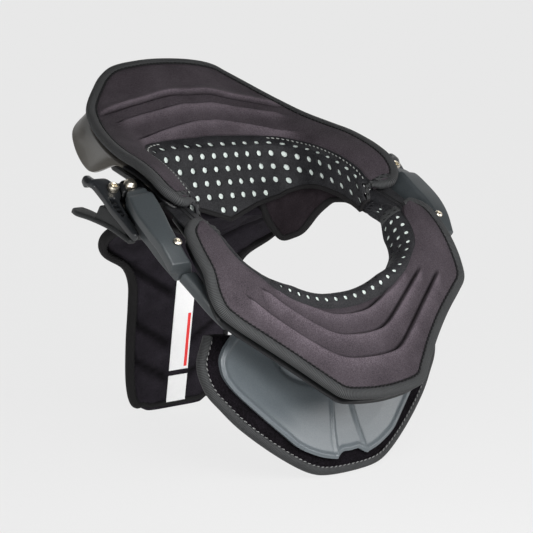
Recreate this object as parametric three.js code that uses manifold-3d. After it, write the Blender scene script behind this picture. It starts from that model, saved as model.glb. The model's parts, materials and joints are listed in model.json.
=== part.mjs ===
// Karting neck brace: a rear half and a front half that meet at two side latches.
// Millimetres, +Z up. The wearer faces -Y and the wearer's left is +X.
// The ring is worked out in its own pitched frame: x to the left, y to the rear, n off the ring.
import * as THREE from 'three';
import { mergeVertices, mergeGeometries } from 'three/addons/utils/BufferGeometryUtils.js';
import Module from 'manifold-3d';

const wasm = await Module();
wasm.setup();

// Driving dimensions
const RING_PITCH = THREE.MathUtils.degToRad(37.7); // how far the ring leans, rear high
const RING_HEIGHT = 193.7; // ring centre above the floor
const RING_Y = -17.0; // ring centre, front to back
const CENTRE_SHIFT = 0.575; // puts the origin halfway between the foremost and rearmost points
const GAP = 0.35; // clearance between neighbouring pieces
const PAD_THICK = 8.5; // neoprene table pads
const CROWN = 2.2; // how far a table pad rises between its edges
const EDGE_DROP = 1.6; // how far a pad's rim is pulled down by its binding
const BINDING_WIDE = 5.2;
const BINDING_THICK = 9.0;
const RIB_HIGH = 2.4;
const RIB_WIDE = 11.0; // foot of one raised rib
const RIB_FADE = 13.0; // length over which a rib's end runs out
const RIB_CORNER = 7.0; // softness of a V rib's corner
const RIB_SLANT = 0.8; // cosine of a V rib's slant, so that its foot keeps its width
const RIM_SHARE = 1 / 6; // share of a pad's width over which its rim is pulled down
const END_SHARES = [0.35, 0.7]; // how far the tape turns in across an arm's end
const SHELL_BREAK = 0.86; // where a moulded plate starts to bend down
const LIP_STEP = 0.4; // least height of the plate's lower edge
const SHELL_THICK = 2.6; // moulded plates under the tables
const SHELL_CLEAR = 1.7; // felt layer between a plate and its pad
const SHELL_MARGIN = 5.0; // how far a plate stops inside the edge of its table
const LINER_THICK = 2.0; // perforated skin
const WALL_THICK = 5.0; // foam behind the skin
const HOLE_RADIUS = 2.1;
const HOLE_SIDES = 5;
const HOLE_PITCH = 14.0;
const CLOTH_PAD_THICK = 8.0; // back, shoulder and chest pads
const LABEL_THICK = 1.0;
const LONG_LABEL = { low: 36, high: 121, half: 10 };
const SHORT_LABEL = { low: 6, high: 31, half: 10 };

// Latch: the pin stays on the rear arm, the base and lever ride on the front half
const PIN = { x: 126, y: 32 };
const PIN_RADIUS = 2.8;
const RIVET = { head: 4.8, collar: 3.65, crown: 3.4, dome: 0.8, top: 16.8, sides: 14 };
const LATCH_SCREW = { radius: 4.2, tall: 5.0 };
const ARM_SCREW = { x: 130, y: -44, n: 27.5, top: 2.6, foot: 3.4, tall: 2.0, sides: 10 };
const TONGUE = { low: 4.0, high: 10.0, radius: 8.0, root: 106 };
const BASE = { low: -3.0, high: 3.6, radius: 7.0, play: 0.5 };
const LEVER = { low: 4.2, high: 10.4, pivotX: 142, pivotY: 30 };

// A short table: named columns, one row for each section
function table(columns, rows) {
  return rows.map((row) => Object.fromEntries(columns.map((name, i) => [name, row[i]])));
}

// Rear table outline, from the end of the left arm to the middle of the back
const REAR_ROWS = table(['inX', 'inY', 'inN', 'outX', 'outY', 'outN'], [
  [87, 1, 22.5, 110, -3, 31.5],
  [82.5, 9, 23.0, 117.5, 6, 33.5],
  [82, 22, 22.2, 121, 22, 33.5],
  [80.5, 38, 18.6, 122.5, 40, 29.0],
  [78.5, 55, 12.5, 124, 58, 22.0],
  [75.5, 71, 5.0, 123, 76, 15.0],
  [70.5, 85, -3.0, 118, 97, 6.0],
  [61, 94.5, -7.5, 109, 126, -5.5],
  [45, 97.5, -8.5, 97, 155, -13.0],
  [30, 97.5, -8.2, 76, 182.5, -14.3],
  [20, 97.3, -7.8, 65, 194, -13.7],
  [12, 97.1, -7.6, 54, 200.5, -11.0],
  [6, 97, -7.5, 30, 203, -6.8],
  [0, 97, -7.5, 0, 207, -8.0],
]);

// Front table outline, from the tip of the left arm to the middle of the chest
const FRONT_ROWS = table(['inX', 'inY', 'inN', 'outX', 'outY', 'outN'], [
  [97, -34, 32.0, 113, -31, 32.5],
  [92.5, -42, 31.0, 120.5, -39, 33.0],
  [90, -58, 30.0, 123.5, -58, 32.0],
  [85, -71, 28.0, 123, -78, 29.0],
  [77, -80, 25.5, 123.5, -97, 21.0],
  [68, -88.5, 21.5, 121, -107.5, 16.8],
  [60, -94, 17.5, 113, -114.5, 12.5],
  [49, -99.5, 12.5, 95, -128.5, 5.8],
  [33, -104.2, 8.0, 69, -151.5, -2.0],
  [20, -106.2, 5.5, 47, -173.5, -7.6],
  [13, -106.8, 4.6, 39.5, -181, -8.8],
  [7, -107, 4.2, 29, -184.5, -8.8],
  [0, -107, 4.0, 0, -187, -9.5],
]);

// Path of the front neck roll, which runs on under the tips towards the rear arms
const FRONT_NECK_ROWS = table(['x', 'y', 'n'], [
  [87, -13, 17.0],
  [91, -28, 25.0],
  [91.5, -44, 28.5],
  [89.5, -58, 28.5],
  [84.5, -71, 26.5],
  [76.5, -80, 24.0],
  [66, -89.5, 19.5],
  [52, -98, 12.0],
  [36, -103.5, 7.0],
  [18, -106.5, 3.5],
  [0, -107, 2.5],
]);

// Raised arcs on the rear table: how far back at the middle and at the ends
const REAR_RIBS = table(['midY', 'endX', 'endY'], [
  [118, 84, 95],
  [139, 90, 121],
  [157, 98, 138],
]);

// Raised V ribs on the front table: flat across the middle, then slanting back to their ends
const FRONT_RIBS = table(['midY', 'flatX', 'endX', 'endY'], [
  [-158, 27, 97, -100],
  [-138, 23, 81, -95],
  [-119, 19, 67, -92],
]);

// Turned-down side flange of the rear shell: reach out and down along the outline
const FLANGE_ROWS = table(['y', 'out', 'down'], [
  [70, 0.6, 1.5],
  [80, 7.0, 23.0],
  [100, 9.5, 21.0],
  [120, 12.0, 15.0],
  [138, 13.0, 10.0],
  [148, 10.0, 7.0],
  [159, 0.6, 1.5],
]);

// Rear arm under the table: section at each distance behind the ring centre
const REAR_ARM_ROWS = table(['y', 'inX', 'outX', 'low', 'high'], [
  [98, 84, 104, -22, -16.3],
  [76, 91, 112, -14, -7.7],
  [56, 95, 115, -3.5, 2.3],
  [42, 97, 115, 2.5, 8.7],
  [27, 98, 115, 6.0, 12.9],
  [9, 98, 112, 8.0, 14.5],
]);

// Arm cover of the front half, outside the table edges
const COVER_ROWS = table(['y', 'footX', 'topX', 'foldX', 'underX', 'low', 'high', 'fold'], [
  [21, 119, 123.8, 135, 132.5, 3.95, 21, 18.5],
  [16, 118.5, 123.6, 140, 136.5, 3.95, 25.5, 22.5],
  [2, 118, 123.4, 145, 138.5, 3.95, 28.5, 25],
  [-12, 117.5, 124.5, 146.2, 139, 3.95, 29, 26.2],
  [-28, 117, 126.5, 145.6, 138.5, 6, 29, 27.2],
  [-44, 116.5, 126.5, 143, 136, 5, 27.5, 26.4],
  [-61.5, 115.5, 123, 140, 131, 3, 22, 21],
]);
const COVER_SIDE = 9.0; // height of the cover's outer side below its fold
const COVER_ROUND = 2.0; // rounding of its edges

// Forward arm that carries the front plate
const FRONT_ARM_ROWS = table(['y', 'inX', 'outX', 'low', 'high'], [
  [-61.9, 114, 128, 2, 11.5],
  [-75, 112, 124, 0.6, 10.2],
  [-92, 106, 118, -2.4, 7.2],
  [-106, 98, 110, -6.4, 2.7],
]);

// Bridge of the front plate, seen between the ends of the two tables
const BRIDGE_ROWS = table(['y', 'inX', 'outX', 'low', 'high'], [
  [-11, 96, 111, 14, 19],
  [-40, 98, 114, 19, 22.4],
]);

// Back pad: a T of quilted cloth; distance behind, height and half width down its length
const BACK_ROWS = table(['y', 'z', 'half'], [
  [60, 181, 66],
  [76, 174, 90],
  [91, 166, 98],
  [103, 153, 93],
  [110, 138, 67],
  [114, 122, 58],
  [118, 100, 56],
  [124, 66, 55],
  [131, 24, 51],
  [134, 8, 45],
  [134, 0, 34],
  [134, 0, 27],
]);

// Chest pad and plate outlines: lower and upper edge at each distance from the middle
const CHEST_PAD_ROWS = table(['x', 'low', 'high'], [
  [0, 5.55, 96],
  [25, 5.55, 98],
  [36.5, 9.8, 101],
  [61, 25.8, 108],
  [89.8, 50.4, 114],
  [103, 66.3, 115],
  [108.5, 72.9, 104.8],
  [113, 86, 96.4],
]);
const CHEST_PLATE_ROWS = table(['x', 'low', 'high'], [
  [0, 18.2, 95.5],
  [8, 18.4, 96],
  [14.5, 14.6, 97],
  [22, 15.8, 98.5],
  [30, 18.2, 101],
  [47, 26.8, 107],
  [60, 38.8, 113],
  [80, 58.5, 118],
  [94, 73.5, 109],
  [99.5, 81.5, 102.5],
  [102, 87.5, 97.5],
]);
const CHEST_FACE_Y = -116; // front of the chest pad at the floor
const CHEST_LEAN = 0.31; // how far the chest pieces lean back for each unit of height
const CHEST_CURVE = 0.00047; // how quickly they wrap back round the body

// Pull tab under each lever
const TAB_ROWS = table(['y', 'inX', 'outX', 'low', 'high'], [
  [-17, 141, 148.5, -1.5, 3.8],
  [6, 142, 151, -8, -3],
  [28, 143, 154, -19, -14],
  [44, 143.5, 157, -28, -22.5],
  [50, 147, 154, -31, -26.5],
]);

// Thumb paddle of each lever, from the lever's plate down and back
const PADDLE_ROWS = table(['y', 'inX', 'outX', 'low', 'high'], [
  [43.5, 138.9, 152.4, 4.8, 10.2],
  [49, 140.5, 156, 4.1, 9.4],
  [54.5, 142.5, 157.2, -0.5, 5.5],
  [58.5, 145.5, 155, -3.2, 2.5],
]);
const PADDLE_CHAMFER = 1.6;
const THIN_CHAMFER = 1.2; // rear arms, bridges and pull tabs
const ARM_CHAMFER = 2.5; // forward arms

// Strut behind the back pad: its section at each height
const STRUT_ROWS = table(['y', 'z', 'half'], [
  [118, 269.4, 28],
  [117.6, 200, 24],
  [118.3, 150, 20],
  [122.6, 122, 18],
  [126.7, 100, 17],
  [132.7, 66, 16],
  [139, 30, 14],
]);
const STRUT = { edge: 4.0, spine: 8.0 }; // thickness at its edges, and at its spine, which is as wide each way

// Shoulder pads: how far along the neck, and how far down the roll, they are sewn on
const SHOULDER = { first: 0.063, last: 0.262, stations: 8, high: 0.72, low: 0.98 };
// Fall of their hem at each distance behind the ring centre
const SKIRT_ROWS = table(['y', 'out', 'back', 'down'], [
  [14, 1, 0, 2],
  [45, 5, 10, 5],
  [60, 3, 11, 11],
  [75, -3, 7, 30],
  [84, -8, 2, 46],
  [97, -8, -1, 48],
]);

// Bracket that hangs the chest pieces: half width, and its side view
const BRACKET_HALF = 18;
const BRACKET_SIDE = table(['y', 'z'], [
  [-90, 98.2],
  [-80, 98.6],
  [-97.8, 118.2],
  [-111.2, 103.8],
]);

// Small numeric helpers
const clamp01 = (v) => Math.min(1, Math.max(0, v));
const smooth = (v) => clamp01(v) ** 2 * (3 - 2 * clamp01(v));
const vec = (x, y, z) => new THREE.Vector3(x, y, z);

// Value of one column of a table at a place along another, on straight lines between rows
function lookUp(rows, key, column, at) {
  const ordered = [...rows].sort((a, b) => a[key] - b[key]);
  if (at <= ordered[0][key]) return ordered[0][column];
  for (let i = 1; i < ordered.length; i++) {
    const [a, b] = [ordered[i - 1], ordered[i]];
    if (at <= b[key]) return a[column] + ((b[column] - a[column]) * (at - a[key])) / (b[key] - a[key]);
  }
  return ordered.at(-1)[column];
}

// Closed body from a list of triangles, turned so that its faces point out
function body(vertices, triangles) {
  let volume = 0;
  for (const [a, b, c] of triangles) {
    volume += vertices[a].dot(vec(0, 0, 0).crossVectors(vertices[b], vertices[c]));
  }
  const facing = volume < 0 ? triangles.map(([a, b, c]) => [a, c, b]) : triangles;
  const geometry = new THREE.BufferGeometry();
  geometry.setAttribute('position', new THREE.Float32BufferAttribute(vertices.flatMap((v) => v.toArray()), 3));
  geometry.setIndex(facing.flat());
  return geometry;
}

// Flat cap over one closed loop, as triangles of the loop's own indices
function cap(loop) {
  const normal = vec(0, 0, 0);
  loop.forEach((p, i) => normal.add(vec(0, 0, 0).crossVectors(p, loop[(i + 1) % loop.length])));
  normal.normalize();
  const u = vec(0, 0, 0).crossVectors(normal, Math.abs(normal.x) < 0.7 ? vec(1, 0, 0) : vec(0, 1, 0)).normalize();
  const v = vec(0, 0, 0).crossVectors(normal, u);
  return THREE.ShapeUtils.triangulateShape(loop.map((p) => new THREE.Vector2(p.dot(u), p.dot(v))), []);
}

// Solid skinned over closed loops that all have the same number of points
function skin(loops) {
  const count = loops[0].length;
  const triangles = [];
  for (let i = 0; i + 1 < loops.length; i++) {
    for (let k = 0; k < count; k++) {
      const a = i * count + k;
      const b = i * count + ((k + 1) % count);
      triangles.push([a, b, b + count], [a, b + count, a + count]);
    }
  }
  const last = (loops.length - 1) * count;
  cap(loops[0]).forEach(([a, b, c]) => triangles.push([a, c, b]));
  cap(loops.at(-1)).forEach(([a, b, c]) => triangles.push([last + a, last + b, last + c]));
  return body(loops.flat(), triangles);
}

// Joins and cuts
function solid(geometry) {
  const plain = geometry.clone();
  plain.deleteAttribute('normal');
  plain.deleteAttribute('uv');
  const merged = mergeVertices(plain, 1e-4);
  return new wasm.Manifold(new wasm.Mesh({
    numProp: 3,
    vertProperties: merged.attributes.position.array,
    triVerts: new Uint32Array(merged.index.array),
  }));
}
function geometryOf(manifold) {
  const mesh = manifold.getMesh();
  const geometry = new THREE.BufferGeometry();
  geometry.setAttribute('position', new THREE.Float32BufferAttribute(mesh.vertProperties, 3));
  geometry.setIndex(Array.from(mesh.triVerts));
  return geometry;
}
const join = (...pieces) => geometryOf(pieces.map(solid).reduce((a, b) => a.add(b)));
const cut = (piece, tool) => geometryOf(solid(piece).subtract(solid(tool)));
const mirrorX = (geometry) => geometryOf(solid(geometry).mirror([1, 0, 0]));

// Smooth curve through one side's points and their mirror images
function mirroredCurve(points) {
  const others = points.slice(0, -1).reverse().map((p) => vec(-p.x, p.y, p.z));
  return new THREE.CatmullRomCurve3([...points, ...others], false, 'centripetal');
}

// A table's surface: s runs round the neck from arm to arm, t from the neck to the outer edge
// hand is 1 where that path keeps the neck on its left, and -1 where it keeps it on its right
function tableSurface(rows, hand) {
  const inner = mirroredCurve(rows.map((r) => vec(r.inX, r.inY, r.inN)));
  const outer = mirroredCurve(rows.map((r) => vec(r.outX, r.outY, r.outN)));
  const at = (s, t) => inner.getPoint(s).lerp(outer.getPoint(s), t);
  const span = (s) => inner.getPoint(s).distanceTo(outer.getPoint(s));
  return { at, span, inner, outer, hand };
}

// Raised cosine ridge of a rib, by the distance from its crest
const ridge = (distance) => (Math.abs(distance) < RIB_WIDE / 2
  ? 0.5 + 0.5 * Math.cos((2 * Math.PI * distance) / RIB_WIDE) : 0);

function rearRelief(x, y) {
  const heights = REAR_RIBS.map((rib) => {
    const crest = rib.midY - (rib.midY - rib.endY) * (x / rib.endX) ** 2;
    return ridge(y - crest) * smooth((rib.endX - Math.abs(x)) / RIB_FADE);
  });
  return RIB_HIGH * Math.max(...heights);
}

function frontRelief(x, y) {
  const heights = FRONT_RIBS.map((rib) => {
    const past = RIB_CORNER * Math.log(1 + Math.exp((Math.abs(x) - rib.flatX) / RIB_CORNER));
    const slant = (rib.endY - rib.midY) / (rib.endX - rib.flatX);
    return ridge((y - rib.midY - slant * past) * RIB_SLANT) * smooth((rib.endX - Math.abs(x)) / RIB_FADE);
  });
  return RIB_HIGH * Math.max(...heights);
}

// Padded table: a crowned top with ribs, rims pulled down, and a plain underside
function tablePad(surface, relief, inset, stations, across) {
  const loops = [];
  for (let i = 0; i <= stations; i++) {
    const s = i / stations;
    const start = inset / surface.span(s);
    const stop = 1 - (BINDING_WIDE + GAP) / surface.span(s);
    const loop = [];
    for (let k = 0; k <= across; k++) {
      const f = k / across;
      const p = surface.at(s, start + (stop - start) * f);
      const rim = Math.max(0, 1 - Math.min(f, 1 - f) / RIM_SHARE) ** 2;
      p.z += CROWN * Math.sin(Math.PI * f) + relief(p.x, p.y) * (1 - rim) - EDGE_DROP * rim;
      loop.push(p);
    }
    for (const f of [1, 0]) {
      const p = surface.at(s, start + (stop - start) * f);
      p.z -= PAD_THICK;
      loop.push(p);
    }
    loops.push(loop);
  }
  return skin(loops);
}

// Sewn edge tape: a rounded bead carried along a path, standing out from one side of it
function bead(path, normals, wide, thick, side) {
  const section = [[0, -0.5], [0.62, -0.5], [1, -0.22], [1, 0.22], [0.62, 0.5], [0, 0.5]];
  const loops = path.map((p, i) => {
    const along = vec(0, 0, 0).subVectors(path[Math.min(i + 1, path.length - 1)], path[Math.max(i - 1, 0)]);
    const out = vec(0, 0, 0).crossVectors(along, normals[i]).normalize().multiplyScalar(side);
    return section.map(([o, n]) => p.clone()
      .addScaledVector(out, GAP + o * wide).addScaledVector(normals[i], n * thick));
  });
  return skin(loops);
}

// Binding of a table: across one arm's end, round the outer edge and across the other end
function tableBinding(surface, inset, stations) {
  const edge = (s) => 1 - (BINDING_WIDE + GAP) / surface.span(s);
  const starts = inset / surface.span(0);
  const path = [];
  for (const f of END_SHARES) path.push(surface.at(0, starts + (edge(0) - starts) * f));
  for (let i = 0; i <= stations; i++) path.push(surface.at(i / stations, edge(i / stations)));
  for (const f of [...END_SHARES].reverse()) path.push(surface.at(1, starts + (edge(1) - starts) * f));
  path.forEach((p) => { p.z -= EDGE_DROP + PAD_THICK / 2 - BINDING_THICK / 4; });
  const up = path.map(() => vec(0, 0, 1));
  return bead(path, up, BINDING_WIDE, BINDING_THICK, surface.hand);
}

// Direction away from the neck in the ring's plane
function outward(curve, s, hand) {
  const along = curve.getTangent(s);
  return vec(along.y, -along.x, 0).normalize().multiplyScalar(hand);
}

// Moulded plate under a table, its outer edge turned down by a flange
function tableShell(surface, flange, inset, stations) {
  const under = PAD_THICK + SHELL_CLEAR;
  const loops = [];
  for (let i = 0; i <= stations; i++) {
    const s = i / stations;
    const edge = 1 - SHELL_MARGIN / surface.span(s);
    const rim = surface.at(s, edge);
    const out = outward(surface.outer, s, surface.hand);
    const reach = flange(rim.y);
    const begin = Math.min(inset / surface.span(s), 0.5);
    const level = (t, drop) => {
      const p = surface.at(s, t);
      p.z -= under + drop;
      return p;
    };
    const shoulder = level(edge, BINDING_THICK / 4);
    const lip = shoulder.clone().addScaledVector(out, reach.out).add(vec(0, 0, -reach.down));
    const inside = lip.clone().addScaledVector(out, -SHELL_THICK);
    const armpit = shoulder.clone().addScaledVector(out, -SHELL_THICK).add(vec(0, 0, -SHELL_THICK));
    inside.z = Math.min(inside.z, armpit.z - LIP_STEP);
    lip.z = inside.z;
    loops.push([level(begin, 0), level(SHELL_BREAK * edge, 0), shoulder, lip, inside, armpit,
      level(SHELL_BREAK * edge, SHELL_THICK), level(begin, SHELL_THICK)]);
  }
  return skin(loops);
}

// Rear neck roll: how deep it hangs below the table's inner edge, and which way
const NECK_DOWN = vec(0, -0.813, -0.582);
const NECK_FRONT = -9.5; // the roll's lower edge stops here, behind the front half
const NECK_ROWS = table(['x', 'deep'], [
  [0, 69],
  [30, 58],
  [55, 52],
  [66, 45],
  [76, 37],
  [88, 33],
]);
function neckDepth(top) {
  return Math.min(lookUp(NECK_ROWS, 'x', 'deep', Math.abs(top.x)), (NECK_FRONT - top.y) / NECK_DOWN.y);
}
const FIRST_HOLE = 5.5; // first row of holes below the table
const LAST_HOLE = 4.0; // margin below the last row

// A layer of the rear neck roll between two distances behind its face
function rearNeckLayer(surface, near, far) {
  const loops = [];
  const columns = Math.round(surface.inner.getLength() / HOLE_PITCH);
  for (let i = 0; i <= columns; i++) {
    const s = surface.inner.getUtoTmapping(i / columns);
    const top = surface.inner.getPoint(s);
    const deep = neckDepth(top);
    const back = vec(0, 0, 0).crossVectors(NECK_DOWN, surface.inner.getTangent(s)).normalize();
    const at = (level, off) => top.clone().addScaledVector(NECK_DOWN, deep * level).addScaledVector(back, off);
    loops.push([at(0, near), at(1, near), at(1, far), at(0, far)]);
  }
  return skin(loops);
}

// Prism used to punch one hole through a skin
function punch(centre, axis, length) {
  const prism = new THREE.CylinderGeometry(HOLE_RADIUS, HOLE_RADIUS, length, HOLE_SIDES);
  prism.applyQuaternion(new THREE.Quaternion().setFromUnitVectors(vec(0, 1, 0), axis));
  prism.translate(centre.x, centre.y, centre.z);
  return prism;
}

// Rows and columns of holes over the rear neck roll
function rearPunches(surface) {
  const punches = [];
  const columns = Math.round(surface.inner.getLength() / HOLE_PITCH);
  for (let c = 0; c < columns; c++) {
    const s = surface.inner.getUtoTmapping((c + 0.5) / columns);
    const top = surface.inner.getPoint(s);
    const back = vec(0, 0, 0).crossVectors(NECK_DOWN, surface.inner.getTangent(s)).normalize();
    const rows = Math.floor((neckDepth(top) - LAST_HOLE) / HOLE_PITCH);
    for (let r = 0; r < rows; r++) {
      const centre = top.clone().addScaledVector(NECK_DOWN, FIRST_HOLE + r * HOLE_PITCH);
      punches.push(punch(centre, back, 4 * LINER_THICK));
    }
  }
  return mergeGeometries(punches);
}

// Front neck roll: a rounded section that turns in over the edge and down
const ROLL_FACE = [[-0.4, 0.2], [4.5, 3], [9.5, 4], [13.5, 1], [15, -6], [14.5, -19]];
const ROLL_BACK = [[12.4, -19], [12.9, -5.6], [11.9, -0.4], [8.8, 1.9], [5, 1.1], [-0.4, -1.8]];
const ROLL_FILL = [[0, -2.1], [4.9, 0.7], [8.6, 1.5], [11.4, -0.6], [12.5, -5.8], [11.9, -19], [2, -19]];
const ROLL_HOLE = { inner: 9.5, n: 3, lean: 0.15 }; // where the roll is punched, and how far the holes lean in

function frontRoll(curve, section) {
  const loops = [];
  const columns = Math.round(curve.getLength() / HOLE_PITCH);
  for (let i = 0; i <= columns; i++) {
    const s = curve.getUtoTmapping(i / columns);
    const p = curve.getPoint(s);
    const inwards = outward(curve, s, -1).negate();
    loops.push(section.map(([inner, n]) => p.clone().addScaledVector(inwards, inner).add(vec(0, 0, n))));
  }
  return skin(loops);
}

function frontPunches(curve) {
  const punches = [];
  const columns = Math.round(curve.getLength() / HOLE_PITCH);
  for (let c = 0; c < columns; c++) {
    const s = curve.getUtoTmapping((c + 0.5) / columns);
    const inwards = outward(curve, s, -1).negate();
    const centre = curve.getPoint(s).addScaledVector(inwards, ROLL_HOLE.inner).add(vec(0, 0, ROLL_HOLE.n));
    const axis = inwards.multiplyScalar(ROLL_HOLE.lean).add(vec(0, 0, 1)).normalize();
    punches.push(punch(centre, axis, 3 * LINER_THICK));
  }
  return mergeGeometries(punches);
}

// Bar with chamfered edges through rectangular sections along y
function bar(rows, chamfer) {
  return skin(rows.map((r) => {
    const c = chamfer;
    return [[r.inX, r.low + c], [r.inX, r.high - c], [r.inX + c, r.high], [r.outX - c, r.high],
      [r.outX, r.high - c], [r.outX, r.low + c], [r.outX - c, r.low], [r.inX + c, r.low],
    ].map(([x, n]) => vec(x, r.y, n));
  }));
}

// Flat plate cut from an outline in the ring's plane, with optional holes
function plate(outline, holes, low, high) {
  const shape = new THREE.Shape(outline);
  shape.holes = holes.map((h) => new THREE.Path(h));
  const geometry = new THREE.ExtrudeGeometry(shape, { depth: high - low, bevelEnabled: false, curveSegments: 6 });
  geometry.translate(0, 0, low);
  return geometry;
}
const flat = (points) => points.map(([x, y]) => new THREE.Vector2(x, y));

// Points on a round arc, angles in degrees from +x towards +y
function arc(x, y, radius, from, to, steps) {
  return Array.from({ length: steps + 1 }, (_, i) => {
    const a = THREE.MathUtils.degToRad(from + ((to - from) * i) / steps);
    return [x + radius * Math.cos(a), y + radius * Math.sin(a)];
  });
}

// Rear arm with the tongue that holds the pivot pin
function rearArm() {
  const { x, y } = PIN;
  const r = TONGUE.radius;
  const outline = [[TONGUE.root, y - r], ...arc(x, y, r, -90, 90, 8), [TONGUE.root, y + r]];
  const bore = arc(x, y, PIN_RADIUS + GAP, 0, 324, 9);
  return join(bar(REAR_ARM_ROWS, THIN_CHAMFER), plate(flat(outline), [flat(bore)], TONGUE.low, TONGUE.high));
}

// Rivet: shank through the tongue and down into the base's slot, collar and domed head on top
function pivotRivet() {
  const foot = BASE.low + 2 * GAP;
  const seat = TONGUE.high + GAP;
  const profile = [[0, foot], [PIN_RADIUS, foot], [PIN_RADIUS, seat], [RIVET.head, seat],
    [RIVET.head, seat + RIVET.collar], [RIVET.crown, RIVET.top - RIVET.dome], [0, RIVET.top]];
  const lathe = new THREE.LatheGeometry(flat(profile), RIVET.sides);
  lathe.rotateX(Math.PI / 2);
  lathe.translate(PIN.x, PIN.y, 0);
  return lathe;
}

// Latch base: a fork open to the rear, so that the pin can leave its slot
function latchBase() {
  const slot = PIN_RADIUS + BASE.play;
  const { x, y } = PIN;
  const outline = [[117, -12], [138, -12], [143, 14], ...arc(138.5, 39, BASE.radius, 0, 90, 4),
    [x + slot, 46], ...arc(x, y, slot, 0, -180, 6), [x - slot, 42], [118.5, 38], [117, 20]];
  return plate(flat(outline), [], BASE.low, BASE.high);
}

// Lever: thumb paddle that droops behind the pivot, an open slot, and a long finger in front of it
function latchLever() {
  const outline = [[141, -19], [147.5, -19], [149.5, 2], [150.5, 24], [152, 38], [152.6, 45],
    [139.4, 45], [138, 42], [136.2, 36], [135.6, 24.5], [141, 21.5]];
  const slot = [[143.2, -12], [145.6, -12], [147.2, 4], [147.8, 17], [143.4, 17]];
  return join(plate(flat(outline), [flat(slot)], LEVER.low, LEVER.high), bar(PADDLE_ROWS, PADDLE_CHAMFER));
}

function latchScrew() {
  const { radius, tall } = LATCH_SCREW;
  const hex = new THREE.CylinderGeometry(radius, radius, tall, 6);
  hex.rotateX(Math.PI / 2);
  hex.translate(LEVER.pivotX, LEVER.pivotY, LEVER.high + GAP + tall / 2);
  return hex;
}

// Arm cover: leaning inner side, broad top, and a side that turns down at a fold and in under it
function armCover() {
  const edge = COVER_ROUND;
  return skin(COVER_ROWS.map((r) => {
    const side = Math.min(COVER_SIDE, (r.fold - r.low) / 2);
    return [[r.footX, r.low], [r.topX - edge, (r.low + 2 * r.high) / 3], [r.topX, r.high - edge],
      [r.topX + edge, r.high], [r.foldX - edge, r.fold], [r.foldX, r.fold - edge],
      [r.foldX - edge / 2, r.fold - side], [r.underX, r.fold - side - edge], [r.underX, r.low],
    ].map(([x, n]) => vec(x, r.y, n));
  }));
}

function armScrew() {
  const { x, y, n, top, foot, tall, sides } = ARM_SCREW;
  const screw = new THREE.CylinderGeometry(foot, top, tall, sides);
  screw.rotateX(-Math.PI / 2);
  screw.translate(x, y, n + GAP + tall / 2);
  return screw;
}

// Pieces in the part's own frame

// Back pad: cloth-covered foam skinned down the T's rows, flat across the middle
const BACK_FLAT = 0.55;
function backFrame(i) {
  const next = BACK_ROWS[Math.min(i + 1, BACK_ROWS.length - 1)];
  const before = BACK_ROWS[Math.max(Math.min(i, BACK_ROWS.length - 2) - 1, 0)];
  const down = vec(0, next.y - before.y, next.z - before.z).normalize();
  return vec(0, down.z, -down.y);
}
function backPad() {
  const inset = BINDING_WIDE + GAP;
  const lateral = [-1, -BACK_FLAT, BACK_FLAT, 1];
  return skin(BACK_ROWS.map((r, i) => {
    const face = backFrame(i);
    const lift = r.z === 0 ? inset : 0;
    const at = (f, off) => vec(f * (r.half - inset), r.y, r.z + lift).addScaledVector(face, off);
    const front = lateral.map((f) => at(f, Math.abs(f) < 1 ? 0 : -EDGE_DROP));
    const rear = [at(1, -CLOTH_PAD_THICK), at(-1, -CLOTH_PAD_THICK)];
    return [...front, ...rear];
  }));
}
function backBinding() {
  const inset = BINDING_WIDE + GAP;
  const side = BACK_ROWS.map((r, i) => ({ r, face: backFrame(i), lift: r.z === 0 ? inset : 0 }));
  const right = side.map(({ r, face, lift }) => ({
    p: vec(r.half - inset, r.y, r.z + lift).addScaledVector(face, -CLOTH_PAD_THICK / 2), face }));
  const left = [...right].reverse().map(({ p, face }) => ({ p: vec(-p.x, p.y, p.z), face }));
  const path = [...right, ...left];
  return bead(path.map((e) => e.p), path.map((e) => e.face), BINDING_WIDE, CLOTH_PAD_THICK + 1, -1);
}

// Strut behind the back pad, up to the underside of the rear plate
function backStrut() {
  const { edge, spine } = STRUT;
  return skin(STRUT_ROWS.map((r) => [[-r.half, 0], [r.half, 0], [r.half, edge], [spine, spine],
    [-spine, spine], [-r.half, edge]].map(([x, y]) => vec(x, r.y + y, r.z))));
}

// Label sewn on the spine of the back pad, between two heights
function backLabel({ low, high, half }) {
  const heights = [high, ...BACK_ROWS.map((r) => r.z).filter((z) => z < high && z > low), low];
  return skin(heights.map((z) => {
    const face = lookUp(BACK_ROWS, 'z', 'y', z) - GAP;
    return [[-half, 0], [half, 0], [half, -LABEL_THICK], [-half, -LABEL_THICK]]
      .map(([x, y]) => vec(x, face + y, z));
  }));
}

// Shoulder pad: hangs from the outside of the neck roll and widens towards the back
function shoulderPad(surface) {
  const near = LINER_THICK + WALL_THICK + 3 * GAP;
  const far = near + CLOTH_PAD_THICK;
  const { first, last, stations, high, low } = SHOULDER;
  const worldDown = vec(0, -Math.sin(RING_PITCH), -Math.cos(RING_PITCH));
  const worldBack = vec(0, Math.cos(RING_PITCH), -Math.sin(RING_PITCH));
  const loops = [];
  for (let i = 0; i <= stations; i++) {
    const s = first + ((last - first) * i) / stations;
    const top = surface.inner.getPoint(s);
    const back = vec(0, 0, 0).crossVectors(NECK_DOWN, surface.inner.getTangent(s)).normalize();
    const deep = neckDepth(top);
    const skirt = (column) => lookUp(SKIRT_ROWS, 'y', column, top.y);
    const hem = worldDown.clone().multiplyScalar(skirt('down')).addScaledVector(worldBack, skirt('back'))
      .add(vec(skirt('out'), 0, 0));
    const at = (level, fall, off) => top.clone().addScaledVector(NECK_DOWN, deep * level)
      .addScaledVector(back, off).addScaledVector(hem, fall);
    loops.push([at(high, 0, near), at(low, 0, near), at(low, 1, near), at(low, 1, far), at(low, 0, far),
      at(high, 0, far)]);
  }
  return skin(loops);
}

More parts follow.
